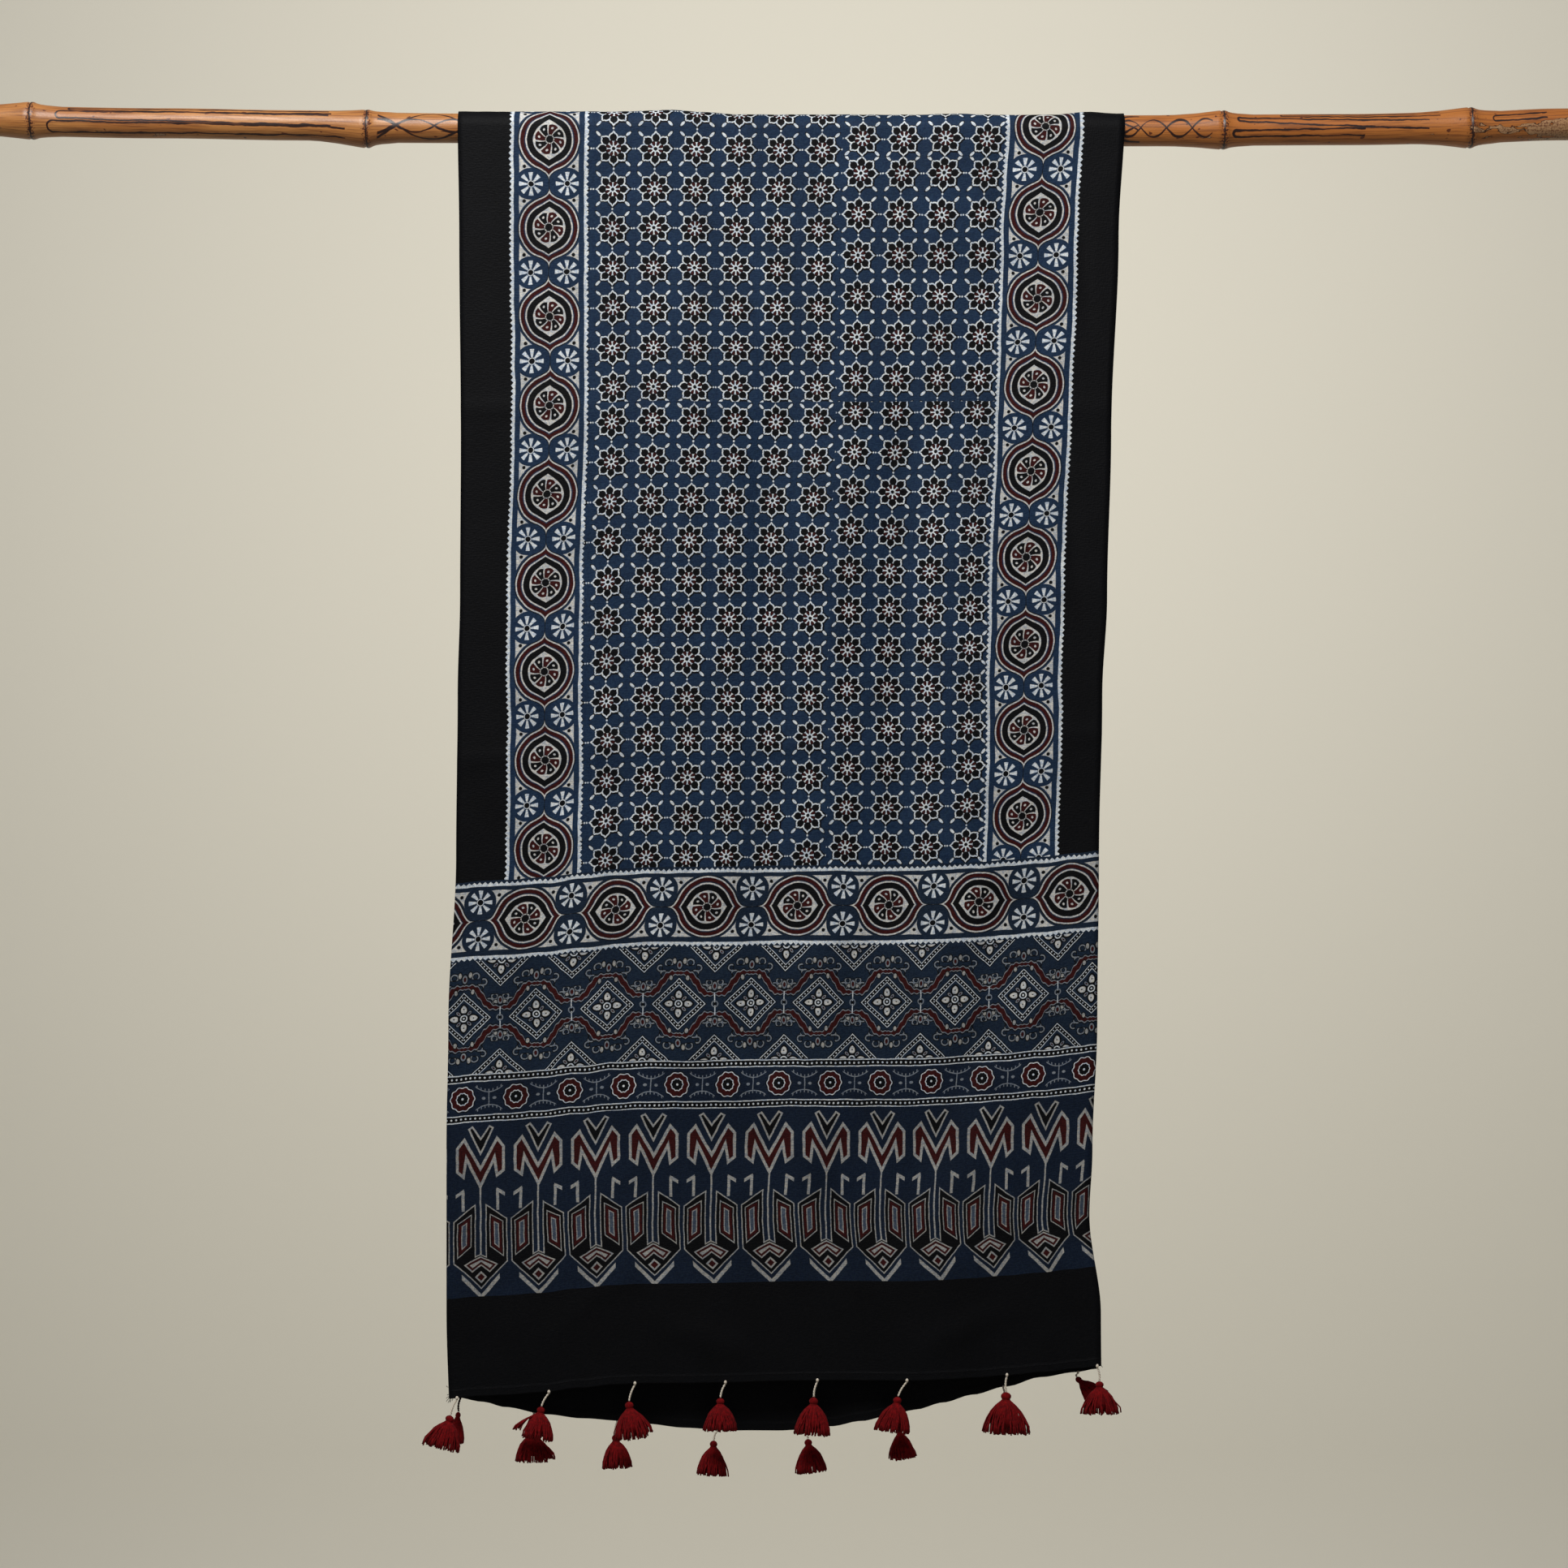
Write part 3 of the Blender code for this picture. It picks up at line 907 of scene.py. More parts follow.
def draw_rosettes(art, across, up):
    """Scalloped rosettes with twigs between them, and a dotted stripe above and below."""
    x = in_blocks(across, *ROSETTE_RUN)
    y = up - 245.4
    r = length(x, y)
    scallop = (y.work("ARCTAN2", x) * 10).work("COSINE")
    art.lay(
        r - r * scallop * 0.045,
        (0.9, "resist_white"),
        (4.5, "black"),
        (5.2, "resist_white"),
        (9.4, "madder"),
        (10.1, "resist_white"),
        (11.0, "black"),
    )
    beside, along = ROSETTE_RUN[-1] / 2 - abs(x), abs(y)
    bent = (beside * beside).times_plus(0.035, 5.2)
    twig = abs(along - bent) - 0.4
    tick = most(abs(beside.repeat(3.2)) - 0.35, abs(along - bent - 0.9) - 1.3)
    stalk = most(beside - 0.4, along - 5.2)
    drop = length((beside - 4.4) * 0.8, along * 1.1) - 1.2
    art.lay(least(most(least(twig, tick), beside - 11), stalk, drop), (0, "faint_white"))
    draw_dotted_stripe(art, across, up - 262.0)
    draw_dotted_stripe(art, across, up - 228.8)


def draw_trees(art, across, up):
    """Tall stems: a cap and a banner at the top, hooks at the sides and a two-eyed leaf at the foot."""
    x = in_blocks(across, *TREE_RUN)
    y = 212.5 - up
    beside = abs(x)
    stem = most(beside - 0.65, abs(y - 68) - 29)
    hook = most(abs(beside - 14.3) - 1.15, abs(y - 51) - 8.5)
    flag = most(abs(y - beside.times_plus(0.6, 34.8)) - 1.5, abs(beside - 16.9) - 3.3)
    art.lay(least(stem, hook, flag), (0, "dull_cream"))
    notch = (0.5 - beside * 1.39 - y) * 0.584
    point = (y - 13.2 + beside * 2.04) * 0.44
    arm_end = beside * 0.5 - y * 0.87 - 11.6
    art.lay(most(notch, point, arm_end), (-0.9, "black"), (0.5, "dull_cream"))
    shoulder = (beside * 1.21 - 16.1 - y) * 0.637
    top = most((24.1 - beside * 1.81 - y) * 0.484, shoulder, beside - 19.4)
    leg = most((y - 18.3) * 0.156 + 11.1 - beside, (y - 43.6 + beside * 0.84) * 0.766)
    banner = most(top, least((y - 41.4 + beside * 2.08) * 0.433, leg))
    art.lay(banner, (-1.7, "madder"), (0.6, "dull_cream"))
    brow = (beside * 0.7 + 51.4 - y) * 0.82
    foot = (y - 124 + beside * 0.973) * 0.717
    gap = least(4 - beside, (beside * 0.5 + 95.5 - y) * 0.9)
    art.lay(most(brow, beside - 22.2, foot, gap), (-0.85, "black"), (0, "dull_cream"))
    lid = (beside * 0.55 + 58.5 - y) * 0.876
    eye = most(7.4 - beside, beside - 19.1, lid, (y - 83.9 - beside * 0.76) * 0.796)
    art.lay(
        eye,
        (-4.4, "grey_blue"),
        (-3.7, "dull_cream"),
        (-1.5, "madder"),
        (-0.7, "black"),
        (0, "dull_cream"),
    )
    bow = most((beside * 0.5 + 97.5 - y) * 0.894, (y - 105.5 - beside * 0.75) * 0.8, foot + 4.3)
    art.lay(bow, (-2.7, "dull_cream"), (-1.0, "madder"), (0, "dull_cream"))
    art.lay((beside + abs(y - 114.6) - 4.9) * 0.7071, (-1.3, "madder"), (0, "dull_cream"))
    tick = most(abs(y - 130.3 + beside * 1.05) * 0.69 - 1.45, beside - 15.5)
    art.lay(tick, (0, "dull_cream"))


def make_cottons():
    """The stole's materials, one for each printed region, hem first."""
    return [
        printed_material("cotton_black_hem_band", "black", None),
        printed_material("cotton_tree_band", "deep_indigo", draw_trees),
        printed_material("cotton_rosette_band", "deep_indigo", draw_rosettes),
        printed_material("cotton_lattice_band", "night_indigo", draw_lattice),
        printed_material("cotton_medallion_band", "night_indigo", draw_end_medallions),
        printed_material("cotton_side_borders", "indigo", draw_borders),
        printed_material("cotton_star_field", "indigo", draw_field),
    ]


# ---------------------------------------------------------------------------------------------------
# The bamboo pole.

CULM_SIDES = 48
CULM_STEP = 11
CUT_END_DEPTH = 6
CUT_END_WALL = 4.2
CUT_END_BEVEL = 1.2
CUT_END_EDGE = 0.5  # how far the bevel draws the radius in
PITH_RIM = 1.5
PITH_RISE = 0.8
AROUND = 12.3  # radius that the culm's map is drawn at
# Hairpins scorched along the culm. Columns: closed end, open end, height of the middle round the
# culm and half-width at the closed end, how far each of the two grows along 100 mm.
HAIRPINS = (
    (-600, -374, 4.5, 3.2, -0.4, 1.0),
    (-607, -362, -6.0, 5.0, -0.2, -0.5),
    (-590, -376, 11.0, 1.4, -0.6, 0.5),
    (370, 478, -5.0, 2.4, 1.2, 0.4),
    (374, 531, 6.8, 1.8, -3.6, 1.0),
    (410, 540, 11.5, 1.2, -0.8, 0.6),
    (584, 628, 5.0, 2.2, 2.4, 1.0),
)


def culm_stations():
    """x of every section along the pole."""
    half = POLE_LENGTH / 2
    near = [ring[0] + row[0] for ring in POLE_NODES for row in NODE_SHAPE]
    plain = even_steps(-half + CULM_STEP, half - 6, CULM_STEP)
    clear = [x for x in plain if min(abs(x - other) for other in near) > 4]
    bevel = CUT_END_BEVEL
    return [-half, -half + bevel] + sorted(near + clear) + [half - bevel, half]


def culm_section(x):
    """Height of the culm's middle and its radius at x."""
    rise, offset = 0, 0
    for ring_x, ring_rise, ring_offset in POLE_NODES:
        away = x - ring_x
        if NODE_SHAPE[0][0] <= away <= NODE_SHAPE[-1][0]:
            share = read_table(NODE_SHAPE, 1, away)
            rise += ring_rise * share
            offset += ring_offset * share
    edge = CUT_END_EDGE if abs(x) > POLE_LENGTH / 2 - 1 else 0
    return pole_height(x) + offset, read_table(CULM, 2, x) + rise - edge


def start_edit(obj):
    """Goes into edit mode on one object."""
    bpy.ops.object.select_all(action="DESELECT")
    bpy.context.view_layer.objects.active = obj
    obj.select_set(True)
    bpy.ops.object.mode_set(mode="EDIT")


def hollow_end(x, inwards):
    """Closes an end of the culm with a wall and a shallow hollow."""
    mesh = bmesh.from_edit_mesh(bpy.context.object.data)
    bpy.ops.mesh.select_all(action="DESELECT")
    bpy.ops.mesh.select_mode(type="EDGE")
    for edge in mesh.edges:
        edge.select_set(edge.is_boundary and abs(edge.verts[0].co.x - x * MM) < 0.0001)
    bmesh.update_edit_mesh(bpy.context.object.data)
    bpy.ops.mesh.edge_face_add()
    bpy.ops.mesh.select_mode(type="FACE")
    bpy.ops.mesh.inset(thickness=CUT_END_WALL * MM)
    deeper = (inwards * CUT_END_DEPTH * MM, 0, 0)
    bpy.ops.mesh.extrude_region_move(TRANSFORM_OT_translate={"value": deeper})
    bpy.ops.mesh.inset(thickness=PITH_RIM * MM)
    back = (-inwards * PITH_RISE * MM, 0, 0)
    bpy.ops.mesh.extrude_region_move(TRANSFORM_OT_translate={"value": back})


def build_pole():
    """The culm, drawn out ring by ring from its left end, with a map of how far along and round."""
    stations = culm_stations()
    height, radius = culm_section(stations[0])
    bpy.ops.object.select_all(action="DESELECT")
    bpy.ops.mesh.primitive_circle_add(
        vertices=CULM_SIDES,
        radius=radius * MM,
        location=(stations[0] * MM, 0, height * MM),
        rotation=(0, math.pi / 2, 0),
    )
    pole = bpy.context.object
    pole.name = "bamboo_culm"
    bpy.ops.object.transform_apply(location=True, rotation=True, scale=True)
    start_edit(pole)
    bpy.ops.mesh.select_all(action="SELECT")
    for before, x in zip(stations, stations[1:]):
        old_height, old_radius = culm_section(before)
        height, radius = culm_section(x)
        step = ((x - before) * MM, 0, (height - old_height) * MM)
        bpy.ops.mesh.extrude_region_move(TRANSFORM_OT_translate={"value": step})
        growth = radius / old_radius
        centre = (x * MM, 0, height * MM)
        bpy.ops.transform.resize(value=(1, growth, growth), center_override=centre)
    hollow_end(stations[-1], -1)
    hollow_end(stations[0], 1)
    bpy.ops.mesh.select_all(action="SELECT")
    bpy.ops.mesh.normals_make_consistent(inside=False)
    bpy.ops.object.mode_set(mode="OBJECT")
    mesh = pole.data
    mesh.materials.append(bamboo_skin())
    mesh.materials.append(cut_bamboo())
    culm_map = mesh.uv_layers.new(name="culm")
    for face in mesh.polygons:
        face.use_smooth = True
        if abs(face.normal.x) > 0.9 or abs(face.center.x) > (POLE_LENGTH / 2 - 0.1) * MM:
            face.material_index = 1
        turns = []
        for loop in face.loop_indices:
            place = mesh.vertices[mesh.loops[loop].vertex_index].co
            turns.append(math.atan2(place.z - culm_section(place.x / MM)[0] * MM, -place.y))
        for loop, turn in zip(face.loop_indices, turns):
            place = mesh.vertices[mesh.loops[loop].vertex_index].co
            turn += math.tau if turn < 0 and max(turns) - turn > math.pi else 0
            culm_map.data[loop].uv = (place.x, turn * AROUND * MM)
    bpy.ops.object.select_all(action="DESELECT")
    pole.select_set(True)
    bpy.ops.object.shade_smooth_by_angle(angle=math.radians(40))
    return pole


def lacing(x, around, wave, loop, height, thinness):
    """How far it is from two lines that cross at every loop along the culm."""
    return (abs(around) - abs((x * (math.pi / loop)).work(wave)) * height) * thinness


def bamboo_skin():
    """Varnished bamboo: warm and streaky, scorched with long loops, darker at the rings."""
    material, tree, shader = new_material("bamboo_skin")
    place, x, turned = own_map(tree, "culm", 16, 3, 0.55, 2.6)
    around = turned.repeat(math.pi * AROUND)
    art = Artwork(tree, "honey")
    tones = uneven(tree, place, 60, 3, 0.6, (0.5, 2.2, 1))
    art.tint("amber", tones.times_plus(4.0, -1.75).between(0, 0.7))
    art.tint("orange", ((x - 100) * 0.003).between(0, 0.7))
    fibres = uneven(tree, place, 1.6, 3, 0.6, (0.04, 1.0, 1))
    art.tint("russet", fibres.times_plus(3.0, -1.42).between(0, 0.5))
    rings = least(*[abs(x - row[0]) for row in POLE_NODES if row[1] > 3])
    speckle = uneven(tree, place, 1.5, 2, 0.6)
    art.lay(rings * 0.12 + speckle * 1.6, (0.74, "burnt"), (1.0, "russet"), softness=0.12)
    spots = uneven(tree, place, 5.5, 1, 0.5, (0.7, 1.0, 1))
    art.lay(0.775 - spots, (0, "russet"), softness=0.03)
    patches = uneven(tree, place, 34, 4, 0.62, (0.55, 1.5, 1))
    bare = (x - 545).between(0, 50) * 0.0046 - (around + 3).at_least(0) * 0.02
    sliver = (1 - length((x - 532) * 0.03, (around + 6.5) * 0.33)).at_least(0) * 0.3
    worn = patches + bare + sliver
    art.lay(0.69 - worn, (0, "peeled"), (0.014, "burnt"), softness=0.01)
    mottle = (0.70 - worn).work("LESS_THAN", 0) * (speckle * 2.6 + fibres * 2.0 - 2.0)
    art.tint("russet", mottle.between(0, 0.85))
    strokes = None
    for closed, opened, middle, half, drift, spread in HAIRPINS:
        beyond = (closed + half - x).at_least(0)
        run = x - closed
        away = around - run.times_plus(drift / 100, middle)
        line = most(abs(length(beyond, away) - run.times_plus(spread / 100, half)), x - opened)
        strokes = line if strokes is None else least(strokes, line)
    ovals = lacing(x, around, "SINE", 32, 5.6, 0.85)
    wide = lacing(x, around, "COSINE", 58, 12.0, 0.85)
    chain = most(least(abs(ovals), abs(wide)), -334 - x, x - 292)
    close = lacing(x, around, "SINE", 21, 7.0, 0.8)
    right_chain = most(abs(close), 280 - x, x - 352)
    strokes = least(strokes, chain, right_chain)
    pressure = uneven(tree, place, 26, 2, 0.5).times_plus(1.5, -0.12)
    art.lay(strokes - pressure, (-0.1, "burnt"), (0.2, "russet"), softness=0.25)
    art.lay(abs(rings - 0.2) - 0.35, (0, "burnt"))
    tree.links.new(art.colour, shader.inputs["Base Color"])
    plug(tree, speckle * 0.2 + fibres * 0.2 + 0.22, shader.inputs["Roughness"])
    add_bump(tree, shader, fibres + speckle * 0.5, 0.35, 0.0004)
    shader.inputs["Coat Weight"].default_value = 0.1
    shader.inputs["Coat Roughness"].default_value = 0.22
    return material


def cut_bamboo():
    """The sawn ends: pale fibre with darker flecks."""
    material, tree, shader = new_material("cut_bamboo")
    coordinates = add_node(tree, "ShaderNodeTexCoord")
    flecks = add_node(tree, "ShaderNodeTexNoise")
    flecks.inputs["Scale"].default_value = 1400
    flecks.inputs["Detail"].default_value = 2
    tree.links.new(coordinates.outputs["Object"], flecks.inputs["Vector"])
    fleck = Measure(tree, flecks.outputs["Fac"])
    art = Artwork(tree, "peeled")
    art.lay(fleck, (0.44, "amber"), softness=0.1)
    tree.links.new(art.colour, shader.inputs["Base Color"])
    plug(tree, fleck.times_plus(0.3, 0.6), shader.inputs["Roughness"])
    return material


# ---------------------------------------------------------------------------------------------------
# The threads and tassels.

THREAD_RADIUS = 0.9
THREAD_SAG = 0.8
TWIST_PITCH = 4.2
PLY_RADIUS = 0.52
PLY_OFFSET = 0.42
# The bead of thread at the hem. Columns: height from its middle, radius.
BEAD_SHAPE = (
    (-1.4, 0.35),
    (-1.0, 0.95),
    (-0.3, 1.25),
    (0.5, 1.2),
    (1.1, 0.85),
    (1.5, 0.3),
)
HEM_GAP = 0.9
HEAD_GAP = 0.45
TASSEL_DEPTH = 0.62
# Columns: share of the way down the tassel, share of its half-width.
TASSEL_SHAPE = (
    (0.0, 0.02),
    (0.03, 0.14),
    (0.07, 0.20),
    (0.11, 0.20),
    (0.15, 0.16),
    (0.18, 0.13),
    (0.23, 0.25),
    (0.34, 0.48),
    (0.55, 0.76),
    (0.80, 0.95),
    (1.0, 1.0),
)
# Columns: x of the thread on the hem, sideways and downward run of the thread, lean of the tassel to
# the right in degrees, its length and its full width.
FRONT_TASSELS = (
    (-269.3, -5.5, 14.1, -15, 27, 28),
    (-193.6, -6.3, 12.1, -9, 26, 26),
    (-122.6, -5.0, 14.8, 6, 30, 28),
    (-48.2, -4.2, 12.8, 0, 26, 27),
    (27.5, -3.0, 13.9, -3, 30, 29),
    (101.2, -7.5, 13.2, -9, 28, 27),
    (183.6, -0.6, 13.9, -2, 33, 35),
    (258.0, 1.8, 12.3, 1, 26, 27),
)
BACK_TASSELS = (
    (-268.5, -1.5, 11.9, -9, 25, 14),
    (-207.5, -1.5, 13.4, 0, 26, 27),
    (-138.5, -1.5, 11.4, 3, 27, 24),
    (-55.5, -2.7, 8.8, -4, 28, 24),
    (21.0, -1.2, 8.2, 7, 27, 24),
    (95.5, -0.5, 11.0, 10, 26, 19),
    (182.0, 0.5, 10.2, 5, 28, 20),
    (244.0, -1.4, 4.2, 46, 27, 18),
)
# Locks of yarn that stand away from a tassel. Columns: tassel, direction round it in degrees (0 is to
# the right), half-width of the lock in degrees, how much further out, how much longer.
LOCKS = {
    "front_tassel_1": (170, 40, 1.16, 1.02),
    "front_tassel_2": (180, 32, 1.50, 0.74),
    "front_tassel_3": (0, 30, 1.18, 0.84),
    "front_tassel_6": (185, 30, 1.12, 1.05),
    "front_tassel_7": (10, 40, 1.16, 1.02),
    "front_tassel_8": (0, 30, 1.12, 1.0),
    "back_tassel_2": (5, 36, 1.22, 0.9),
    "back_tassel_6": (180, 34, 1.15, 0.95),
}
STRANDS = 120
GOLDEN_STEP = 0.618
CORE_SHARE = 0.62
BINDING_TURNS = 3
BINDING_SIDES = 12
OUTER_SHARES = (0.0, 0.03, 0.07, 0.11, 0.15, 0.18, 0.24, 0.34, 0.48, 0.65, 0.83, 1.0)
INNER_SHARES = (0.18, 0.32, 0.5, 0.75, 1.0)


def add_tube(mesh, points, radii, sides):
    """A closed tube through the points, in metres, with a radius at each."""
    rings = []
    for i, point in enumerate(points):
        before = points[max(i - 1, 0)]
        after = points[min(i + 1, len(points) - 1)]
        along = (after - before).normalized()
        aside = along.orthogonal().normalized() if i == 0 else aside - along * aside.dot(along)
        aside.normalize()
        over = along.cross(aside)
        ring = []
        for k in range(sides):
            turn = math.tau * k / sides
            reach = aside * math.cos(turn) + over * math.sin(turn)
            ring.append(mesh.verts.new(point + reach * radii[i]))
        rings.append(ring)
    for low, high in zip(rings, rings[1:]):
        for k in range(sides):
            mesh.faces.new((low[k], low[(k + 1) % sides], high[(k + 1) % sides], high[k]))
    mesh.faces.new(rings[0][::-1])
    mesh.faces.new(rings[-1])


def finish_piece(name, mesh, materials):
    """An object at the origin from a built mesh, smooth and facing outwards."""
    bmesh.ops.recalc_face_normals(mesh, faces=mesh.faces)
    data = bpy.data.meshes.new(name)
    mesh.to_mesh(data)
    mesh.free()
    for material in materials:
        data.materials.append(material)
    for face in data.polygons:
        face.use_smooth = True
    return add_object(name, data)


def hem_height(across, side):
    """Height of a layer's hem at a share of the width."""
    return read_table(HEMS, 1 if side < 0 else 2, across)


def cad_hem_point(x, side):
    """The point on a hem at x, without the small creases."""
    across = 0.5
    for _ in range(12):
        bottom = hem_height(across, side)
        tuck = 0 if side < 0 else BACK_TUCK
        across += (x - edge_x(across, bottom, tuck)) / (EDGES[-1][2] - EDGES[-1][1])
    at_pole = edge_x(across, 0, 0)
    folds = FRONT_FOLDS if side < 0 else BACK_FOLDS
    out = wrap_radius(at_pole) * (1 - NARROWING) + fold_height(folds, across, 1)
    return Vector((x, side * out, hem_height(across, side)))


def build_thread(name, start, end, side, materials):
    """A two-ply thread with a bead of thread where it comes out of the hem."""
    mesh = bmesh.new()
    steps = 26
    turns = (end - start).length / TWIST_PITCH
    for ply in (0, math.pi):
        points = []
        for i in range(steps + 1):
            share = i / steps
            place = start.lerp(end, share)
            place.x += THREAD_SAG * math.sin(math.pi * share) * (1 if end.x > start.x else -1)
            angle = ply + math.tau * turns * share
            place += Vector((PLY_OFFSET * math.cos(angle), PLY_OFFSET * math.sin(angle), 0))
            points.append(place * MM)
        add_tube(mesh, points, [PLY_RADIUS * MM] * len(points), 6)
    bead = start + Vector((0, 0.7 * side, 1.2))
    points = [(bead + Vector((0, 0, z))) * MM for z, _ in BEAD_SHAPE]
    add_tube(mesh, points, [r * MM for _, r in BEAD_SHAPE], 10)
    return finish_piece(name, mesh, materials)


def build_tassel(name, top, lean, length_down, width, materials):
    """A bound head with yarn drawn over it, and a skirt of loose strands."""
    draws = random.Random(name)
    mesh = bmesh.new()
    turn = math.radians(lean)
    down = Vector((math.sin(turn), 0, -math.cos(turn)))
    aside = Vector((math.cos(turn), 0, math.sin(turn)))
    depth = Vector((0, 1, 0))
    half = width / 2

    def place(share, angle, reach):
        out = aside * math.cos(angle) + depth * math.sin(angle) * TASSEL_DEPTH
        return (top + down * length_down * share + out * reach) * MM

    core = [(s, r) for s, r in TASSEL_SHAPE if 0 < s < 0.9]
    core_points = [(top + down * length_down * share) * MM for share, _ in core]
    add_tube(mesh, core_points, [max(r * half * CORE_SHARE, 0.3) * MM for _, r in core], 12)
    lock_way, lock_half, lock_out, lock_long = LOCKS.get(name, (0, 0, 1, 1))
    for number in range(STRANDS):
        outer = number % 3 != 0
        angle = math.tau * (number * GOLDEN_STEP % 1) + draws.uniform(-0.05, 0.05)
        spread = 1.0 if outer else draws.uniform(0.35, 0.85)
        away = abs((math.degrees(angle) - lock_way + 180) % 360 - 180)
        in_lock = away < lock_half
        spread *= lock_out if in_lock else 1
        end = draws.uniform(0.955, 1.03) * (lock_long if in_lock else 1)
        bow = draws.uniform(-0.9, 0.9)
        swing = draws.uniform(-0.22, 0.22)
        stray = draws.uniform(1.05, 1.25) if draws.random() < 0.06 else 1
        shares = OUTER_SHARES if outer else INNER_SHARES
        points = []
        for share in shares:
            skirt = ramp(share, 0.2, 0.9)
            reach = read_table(TASSEL_SHAPE, 1, share) * half
            reach *= 1 + (spread * stray - 1) * skirt
            reach += 0.25 if share < 0.2 else 0.15 * draws.uniform(-1, 1) * half * 0.2 * skirt
            here = angle + swing * skirt * skirt
            fall = share if share < 0.25 else 0.25 + (share - 0.25) * end
            points.append(place(fall, here, reach) + aside * bow * math.sin(math.pi * share) * 0.5 * MM)
        radii = [(0.4 + 0.24 * share) * MM for share in shares]
        add_tube(mesh, points, radii, 5)
    binding = []
    steps = BINDING_TURNS * BINDING_SIDES
    for i in range(steps + 1):
        angle = math.tau * i / BINDING_SIDES
        share = 0.185 + 0.035 * i / steps
        binding.append(place(share, angle, 0.15 * half + 0.75))
    add_tube(mesh, binding, [0.45 * MM] * len(binding), 5)
    return finish_piece(name, mesh, materials)


def yarn_material(name, colour, dark, roughness):
    """Spun yarn: uneven in tone with a twist that shows as fine slanting ridges."""
    material, tree, shader = new_material(name)
    coordinates = add_node(tree, "ShaderNodeTexCoord")
    tone = add_node(tree, "ShaderNodeTexNoise")
    tone.inputs["Scale"].default_value = 420
    tone.inputs["Detail"].default_value = 3
    fibre = add_node(tree, "ShaderNodeTexWave")
    fibre.inputs["Scale"].default_value = 420
    fibre.inputs["Distortion"].default_value = 5
    fibre.inputs["Detail"].default_value = 2
    for node in (tone, fibre):
        tree.links.new(coordinates.outputs["Object"], node.inputs["Vector"])
    blend = add_node(tree, "ShaderNodeMix")
    blend.data_type = "RGBA"
    blend.inputs[6].default_value = (*dark, 1)
    blend.inputs[7].default_value = (*colour, 1)
    lumps = Measure(tree, tone.outputs["Fac"])
    ridges = Measure(tree, fibre.outputs["Fac"])
    plug(tree, lumps.times_plus(2.2, -0.6) * 0.7 + ridges * 0.3, blend.inputs[0])
    tree.links.new(blend.outputs[2], shader.inputs["Base Color"])
    plug(tree, lumps.times_plus(0.2, roughness - 0.1), shader.inputs["Roughness"])
    add_bump(tree, shader, ridges, 0.5, 0.0003)
    set_lustre(shader, 0.02, 0.5)
    return material


def build_fringe(layer, side, rows, red, cream, dark_red):
    """The threads and tassels of one hem."""
    pieces = []
    for number, (x, sideways, drop, lean, length_down, width) in enumerate(rows, 1):
        hem = cad_hem_point(x, side)
        start = hem - Vector((0, 0, HEM_GAP))
        head = hem + Vector((sideways, 0, -drop))
        along = (head - start).normalized()
        dyed = layer == "back" and number == 1
        tie = build_thread(
            f"{layer}_tie_{number}", start, head - along * HEAD_GAP, side, [dark_red if dyed else cream]
        )
        top = head + Vector((0, 0, -THREAD_RADIUS / 2))
        name = f"{layer}_tassel_{number}"
        tassel = build_tassel(name, top, lean, length_down, width, [red])
        tassel.name = f"{layer}_yarn_tassel_{number}"
        for piece, node, finish in (
            (tie, f"{layer}_thread_{number}", "cream_thread"),
            (tassel, name, "red_yarn"),
        ):
            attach(piece, "root")
            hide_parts(node)
            pieces.append(piece)
    return pieces


# ---------------------------------------------------------------------------------------------------
# Hem stitches and frayed ends.

STITCH_PITCH = 3.3
STITCH_LENGTH = 2.1
STITCH_HEIGHT = 6.0
STITCH_RADII = (0.2, 0.3, 0.2)
# Frayed ends at the corners. Columns: across, up from the hem, run to the side, drop, forward.
FRAYS = (
    (0.000, 0.6, -1.4, 3.2, -0.5),
    (0.000, 1.6, -1.8, 1.8, 0.3),
    (0.001, 0.3, -0.6, 4.0, -0.4),
    (0.002, 0.2, 0.5, 3.6, 0.3),
    (0.003, 0.2, -0.4, 3.0, -0.3),
    (0.005, 0.2, 0.6, 2.2, -0.4),
    (0.000, 3.4, -1.6, 0.6, -0.4),
    (0.000, 9.5, -2.2, -1.4, -0.4),
    (1.000, 0.4, 0.6, 1.6, -0.3),
)
FRAY_POINTS = 8
FRAY_RADIUS = 0.22
FRAY_TIP = 0.1


def build_stitches(layer, side, material):
    """A row of small stitches along the turned hem."""
    mesh = bmesh.new()
    count = int(PRINT_WIDTH / STITCH_PITCH)
    for i in range(2, count - 1):
        middle = i / count
        points = []
        for shift, lift in ((-0.5, 0.30), (0, 0.62), (0.5, 0.30)):
            across = middle + shift * STITCH_LENGTH / PRINT_WIDTH
            bottom = hem_height(across, side)
            place = hanging_point(across, bottom + STITCH_HEIGHT, side, bottom)
            place.y += side * (0.42 + 0.4 * lift)
            points.append(place * MM)
        add_tube(mesh, points, [radius * MM for radius in STITCH_RADII], 5)
    return finish_piece(f"{layer}_hem_stitches", mesh, [material])


def build_frays(material):
    """Loose thread ends at the corners of the front hem."""
    mesh = bmesh.new()
    for across, up, sideways, drop, forward in FRAYS:
        bottom = hem_height(across, -1)
        start = hanging_point(across, bottom + up, -1, bottom)
        points = []
        for i in range(FRAY_POINTS):
            share = i / (FRAY_POINTS - 1)
            curl = 0.7 * math.sin(4.2 * share + across * 9 + up)
            move = Vector((sideways * share + curl * share, forward * share, -drop * share * share))
            points.append((start + move) * MM)
        radii = [FRAY_RADIUS * MM] * (FRAY_POINTS - 1) + [FRAY_TIP * MM]
        add_tube(mesh, points, radii, 5)
    return finish_piece("corner_frays", mesh, [material])


# ---------------------------------------------------------------------------------------------------
# Camera, stage and light, in metres.

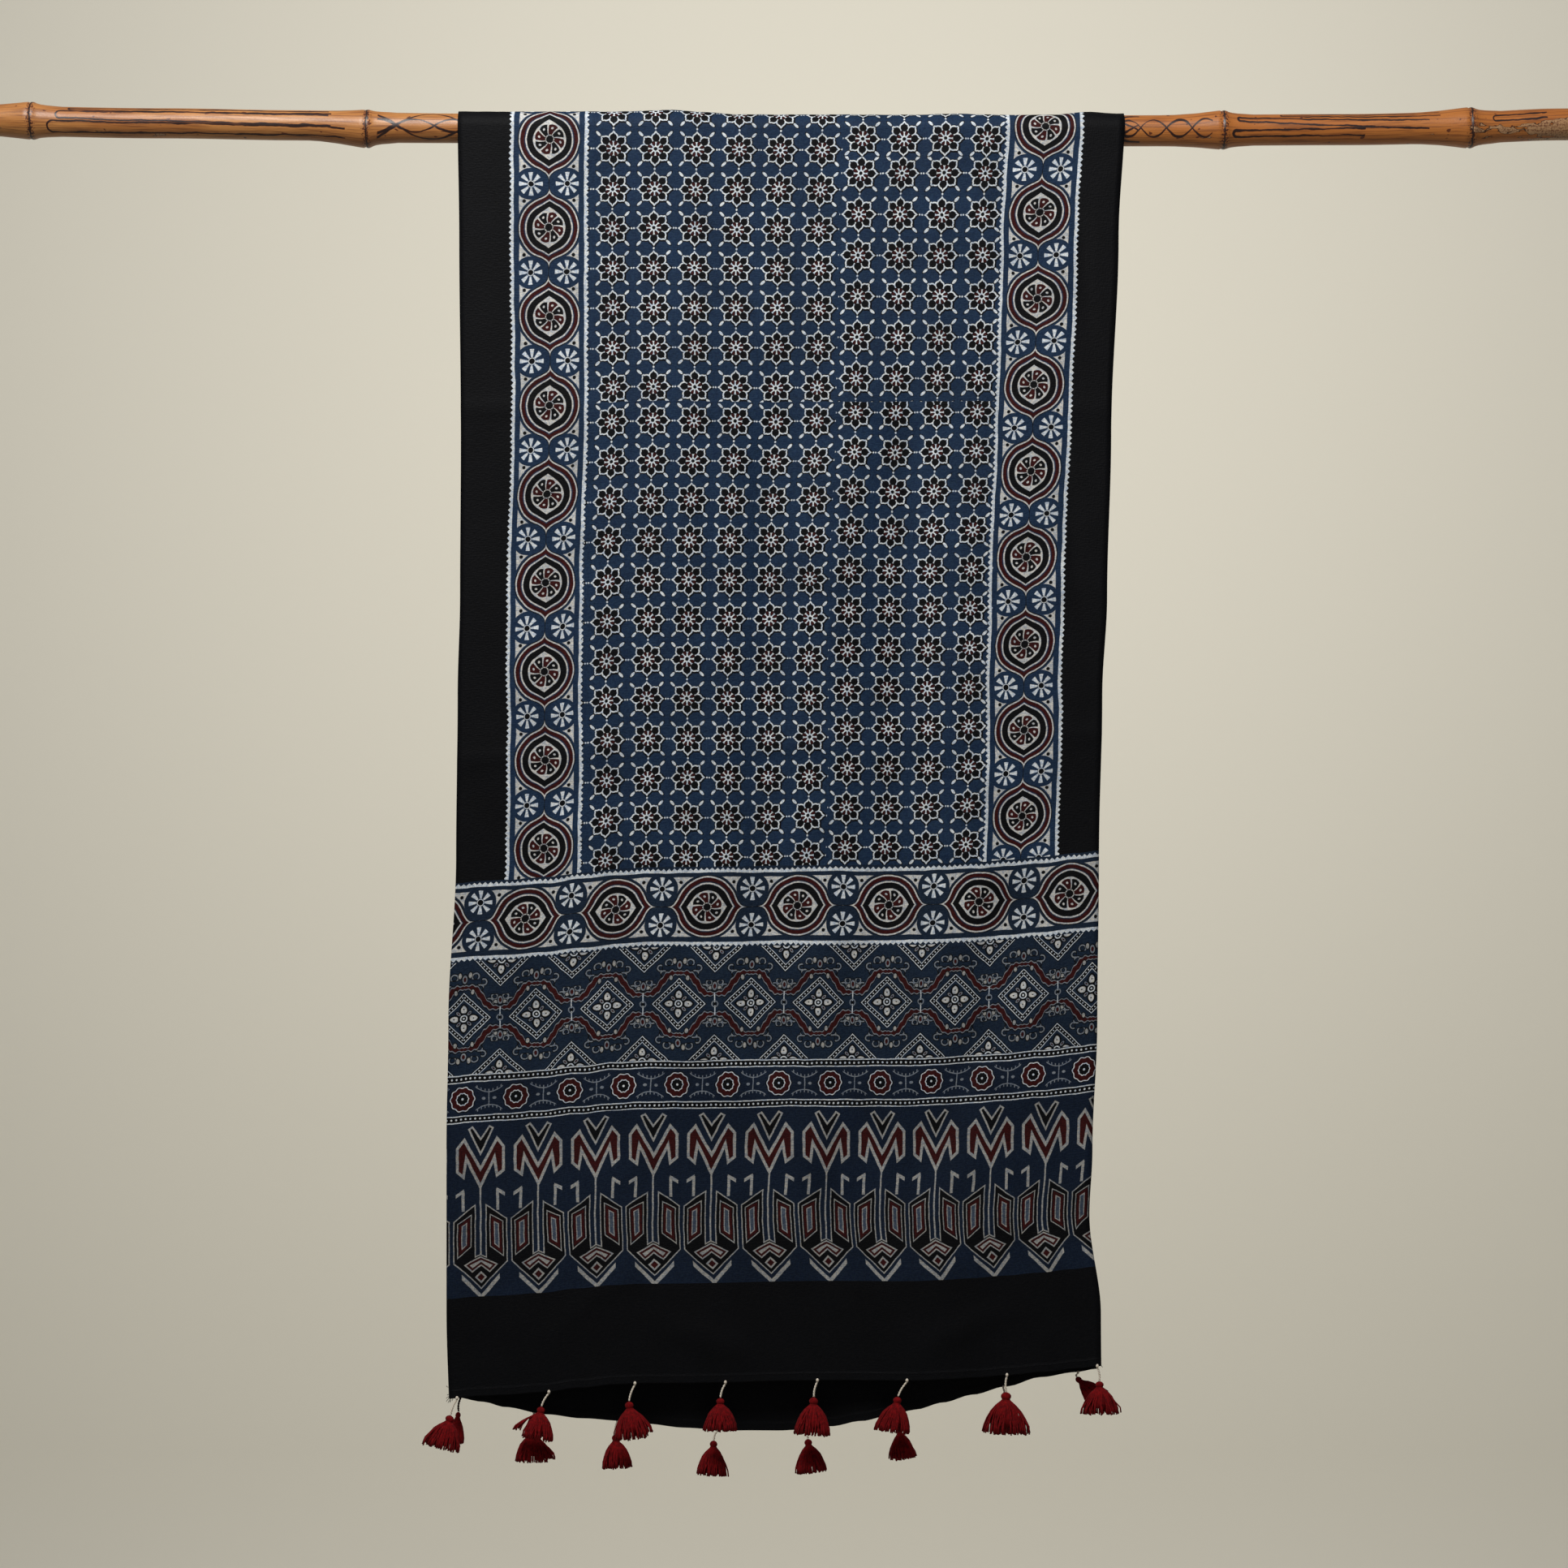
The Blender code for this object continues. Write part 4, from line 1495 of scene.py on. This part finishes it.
CAMERA_DISTANCE = 3.0
CAMERA_HEIGHT = -0.5412
SENSOR_WIDTH = 36
FRAME_WIDTH = 1.294
FRONT_PLANE = 0.005  # how far in front of the pole's axis the frame's width is measured
SWEEP_HALF = 9.0
SWEEP_TOP = 6.0
BEND_STEPS = 12


def place_camera():
    """A level camera in front of the middle of the drape."""
    data = bpy.data.cameras.new("camera")
    camera = add_object("camera", data)
    data.sensor_width = SENSOR_WIDTH
    data.lens = SENSOR_WIDTH * (CAMERA_DISTANCE - FRONT_PLANE) / FRAME_WIDTH
    data.clip_end = 40
    camera.location = (0, -CAMERA_DISTANCE, CAMERA_HEIGHT)
    camera.rotation_euler = (math.radians(90), 0, 0)
    bpy.context.scene.camera = camera


def plain_material(name, colour, roughness):
    material, _, shader = new_material(name)
    shader.inputs["Base Color"].default_value = (*colour, 1)
    shader.inputs["Roughness"].default_value = roughness
    return material


def build_stage():
    """A pale floor that sweeps up into a wall behind the pole."""
    floor_z, wall_y, bend = -3.0, 6.0, 0.8
    outline = [(-SWEEP_HALF, floor_z), (wall_y - bend, floor_z)]
    for i in range(1, BEND_STEPS + 1):
        angle = math.radians(90 * i / BEND_STEPS)
        y = wall_y - bend + bend * math.sin(angle)
        outline.append((y, floor_z + bend - bend * math.cos(angle)))
    outline.append((wall_y, SWEEP_TOP))
    vertices = [(x, y, z) for y, z in outline for x in (-SWEEP_HALF, SWEEP_HALF)]
    faces = [(2 * i, 2 * i + 1, 2 * i + 3, 2 * i + 2) for i in range(len(outline) - 1)]
    mesh = bpy.data.meshes.new("studio_sweep")
    mesh.from_pydata(vertices, [], faces)
    mesh.materials.append(plain_material("pale_backdrop", (0.60, 0.575, 0.50), 0.95))
    for face in mesh.polygons:
        face.use_smooth = True
    add_object("studio_sweep", mesh)


def add_light(name, place, target, size, power, colour):
    data = bpy.data.lights.new(name, "AREA")
    data.shape = "DISK"
    data.size = size
    data.energy = power
    data.color = colour
    lamp = add_object(name, data)
    lamp.location = place
    lamp.rotation_euler = (Vector(target) - Vector(place)).to_track_quat("-Z", "Y").to_euler()
    lamp.visible_camera = False


def light_scene():
    """A soft key from the upper left, a wash on the wall and a little light from all round."""
    add_light("key", (-0.45, -1.5, 1.25), (0, 0, -0.35), 1.1, 46, (1.0, 0.985, 0.96))
    add_light("wall_wash", (0.1, 1.5, 1.3), (0.1, 6.0, 0.2), 1.6, 206, (1.0, 0.98, 0.94))
    world = bpy.data.worlds.new("studio_world")
    bpy.context.scene.world = world
    world.use_nodes = True
    background = world.node_tree.nodes["Background"]
    background.inputs["Color"].default_value = (0.95, 0.97, 1.0, 1)
    background.inputs["Strength"].default_value = 0.16
    bpy.context.scene.view_settings.view_transform = "Standard"


place_camera()
build_stage()
light_scene()

pole = build_pole()
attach(pole, "root")
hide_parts("bamboo_pole")

red_yarn = yarn_material("red_yarn", (0.30, 0.005, 0.007), (0.06, 0.0012, 0.002), 0.8)
cream_thread = yarn_material("cream_thread", (0.95, 0.88, 0.76), (0.80, 0.68, 0.54), 0.75)
dark_thread = yarn_material("dark_red_thread", (0.03, 0.004, 0.005), (0.012, 0.003, 0.004), 0.8)
black_thread = yarn_material("black_thread", (0.012, 0.012, 0.014), (0.004, 0.004, 0.005), 0.85)

fringe = build_fringe("front", -1, FRONT_TASSELS, red_yarn, cream_thread, dark_thread)
fringe += build_fringe("back", 1, BACK_TASSELS, red_yarn, cream_thread, dark_thread)
trims = [
    build_stitches("front", -1, black_thread),
    build_stitches("back", 1, black_thread),
    build_frays(black_thread),
]
for trim in trims:
    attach(trim, "root")

stole = build_cloth(make_cottons())
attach(stole, "root")
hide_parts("stole")
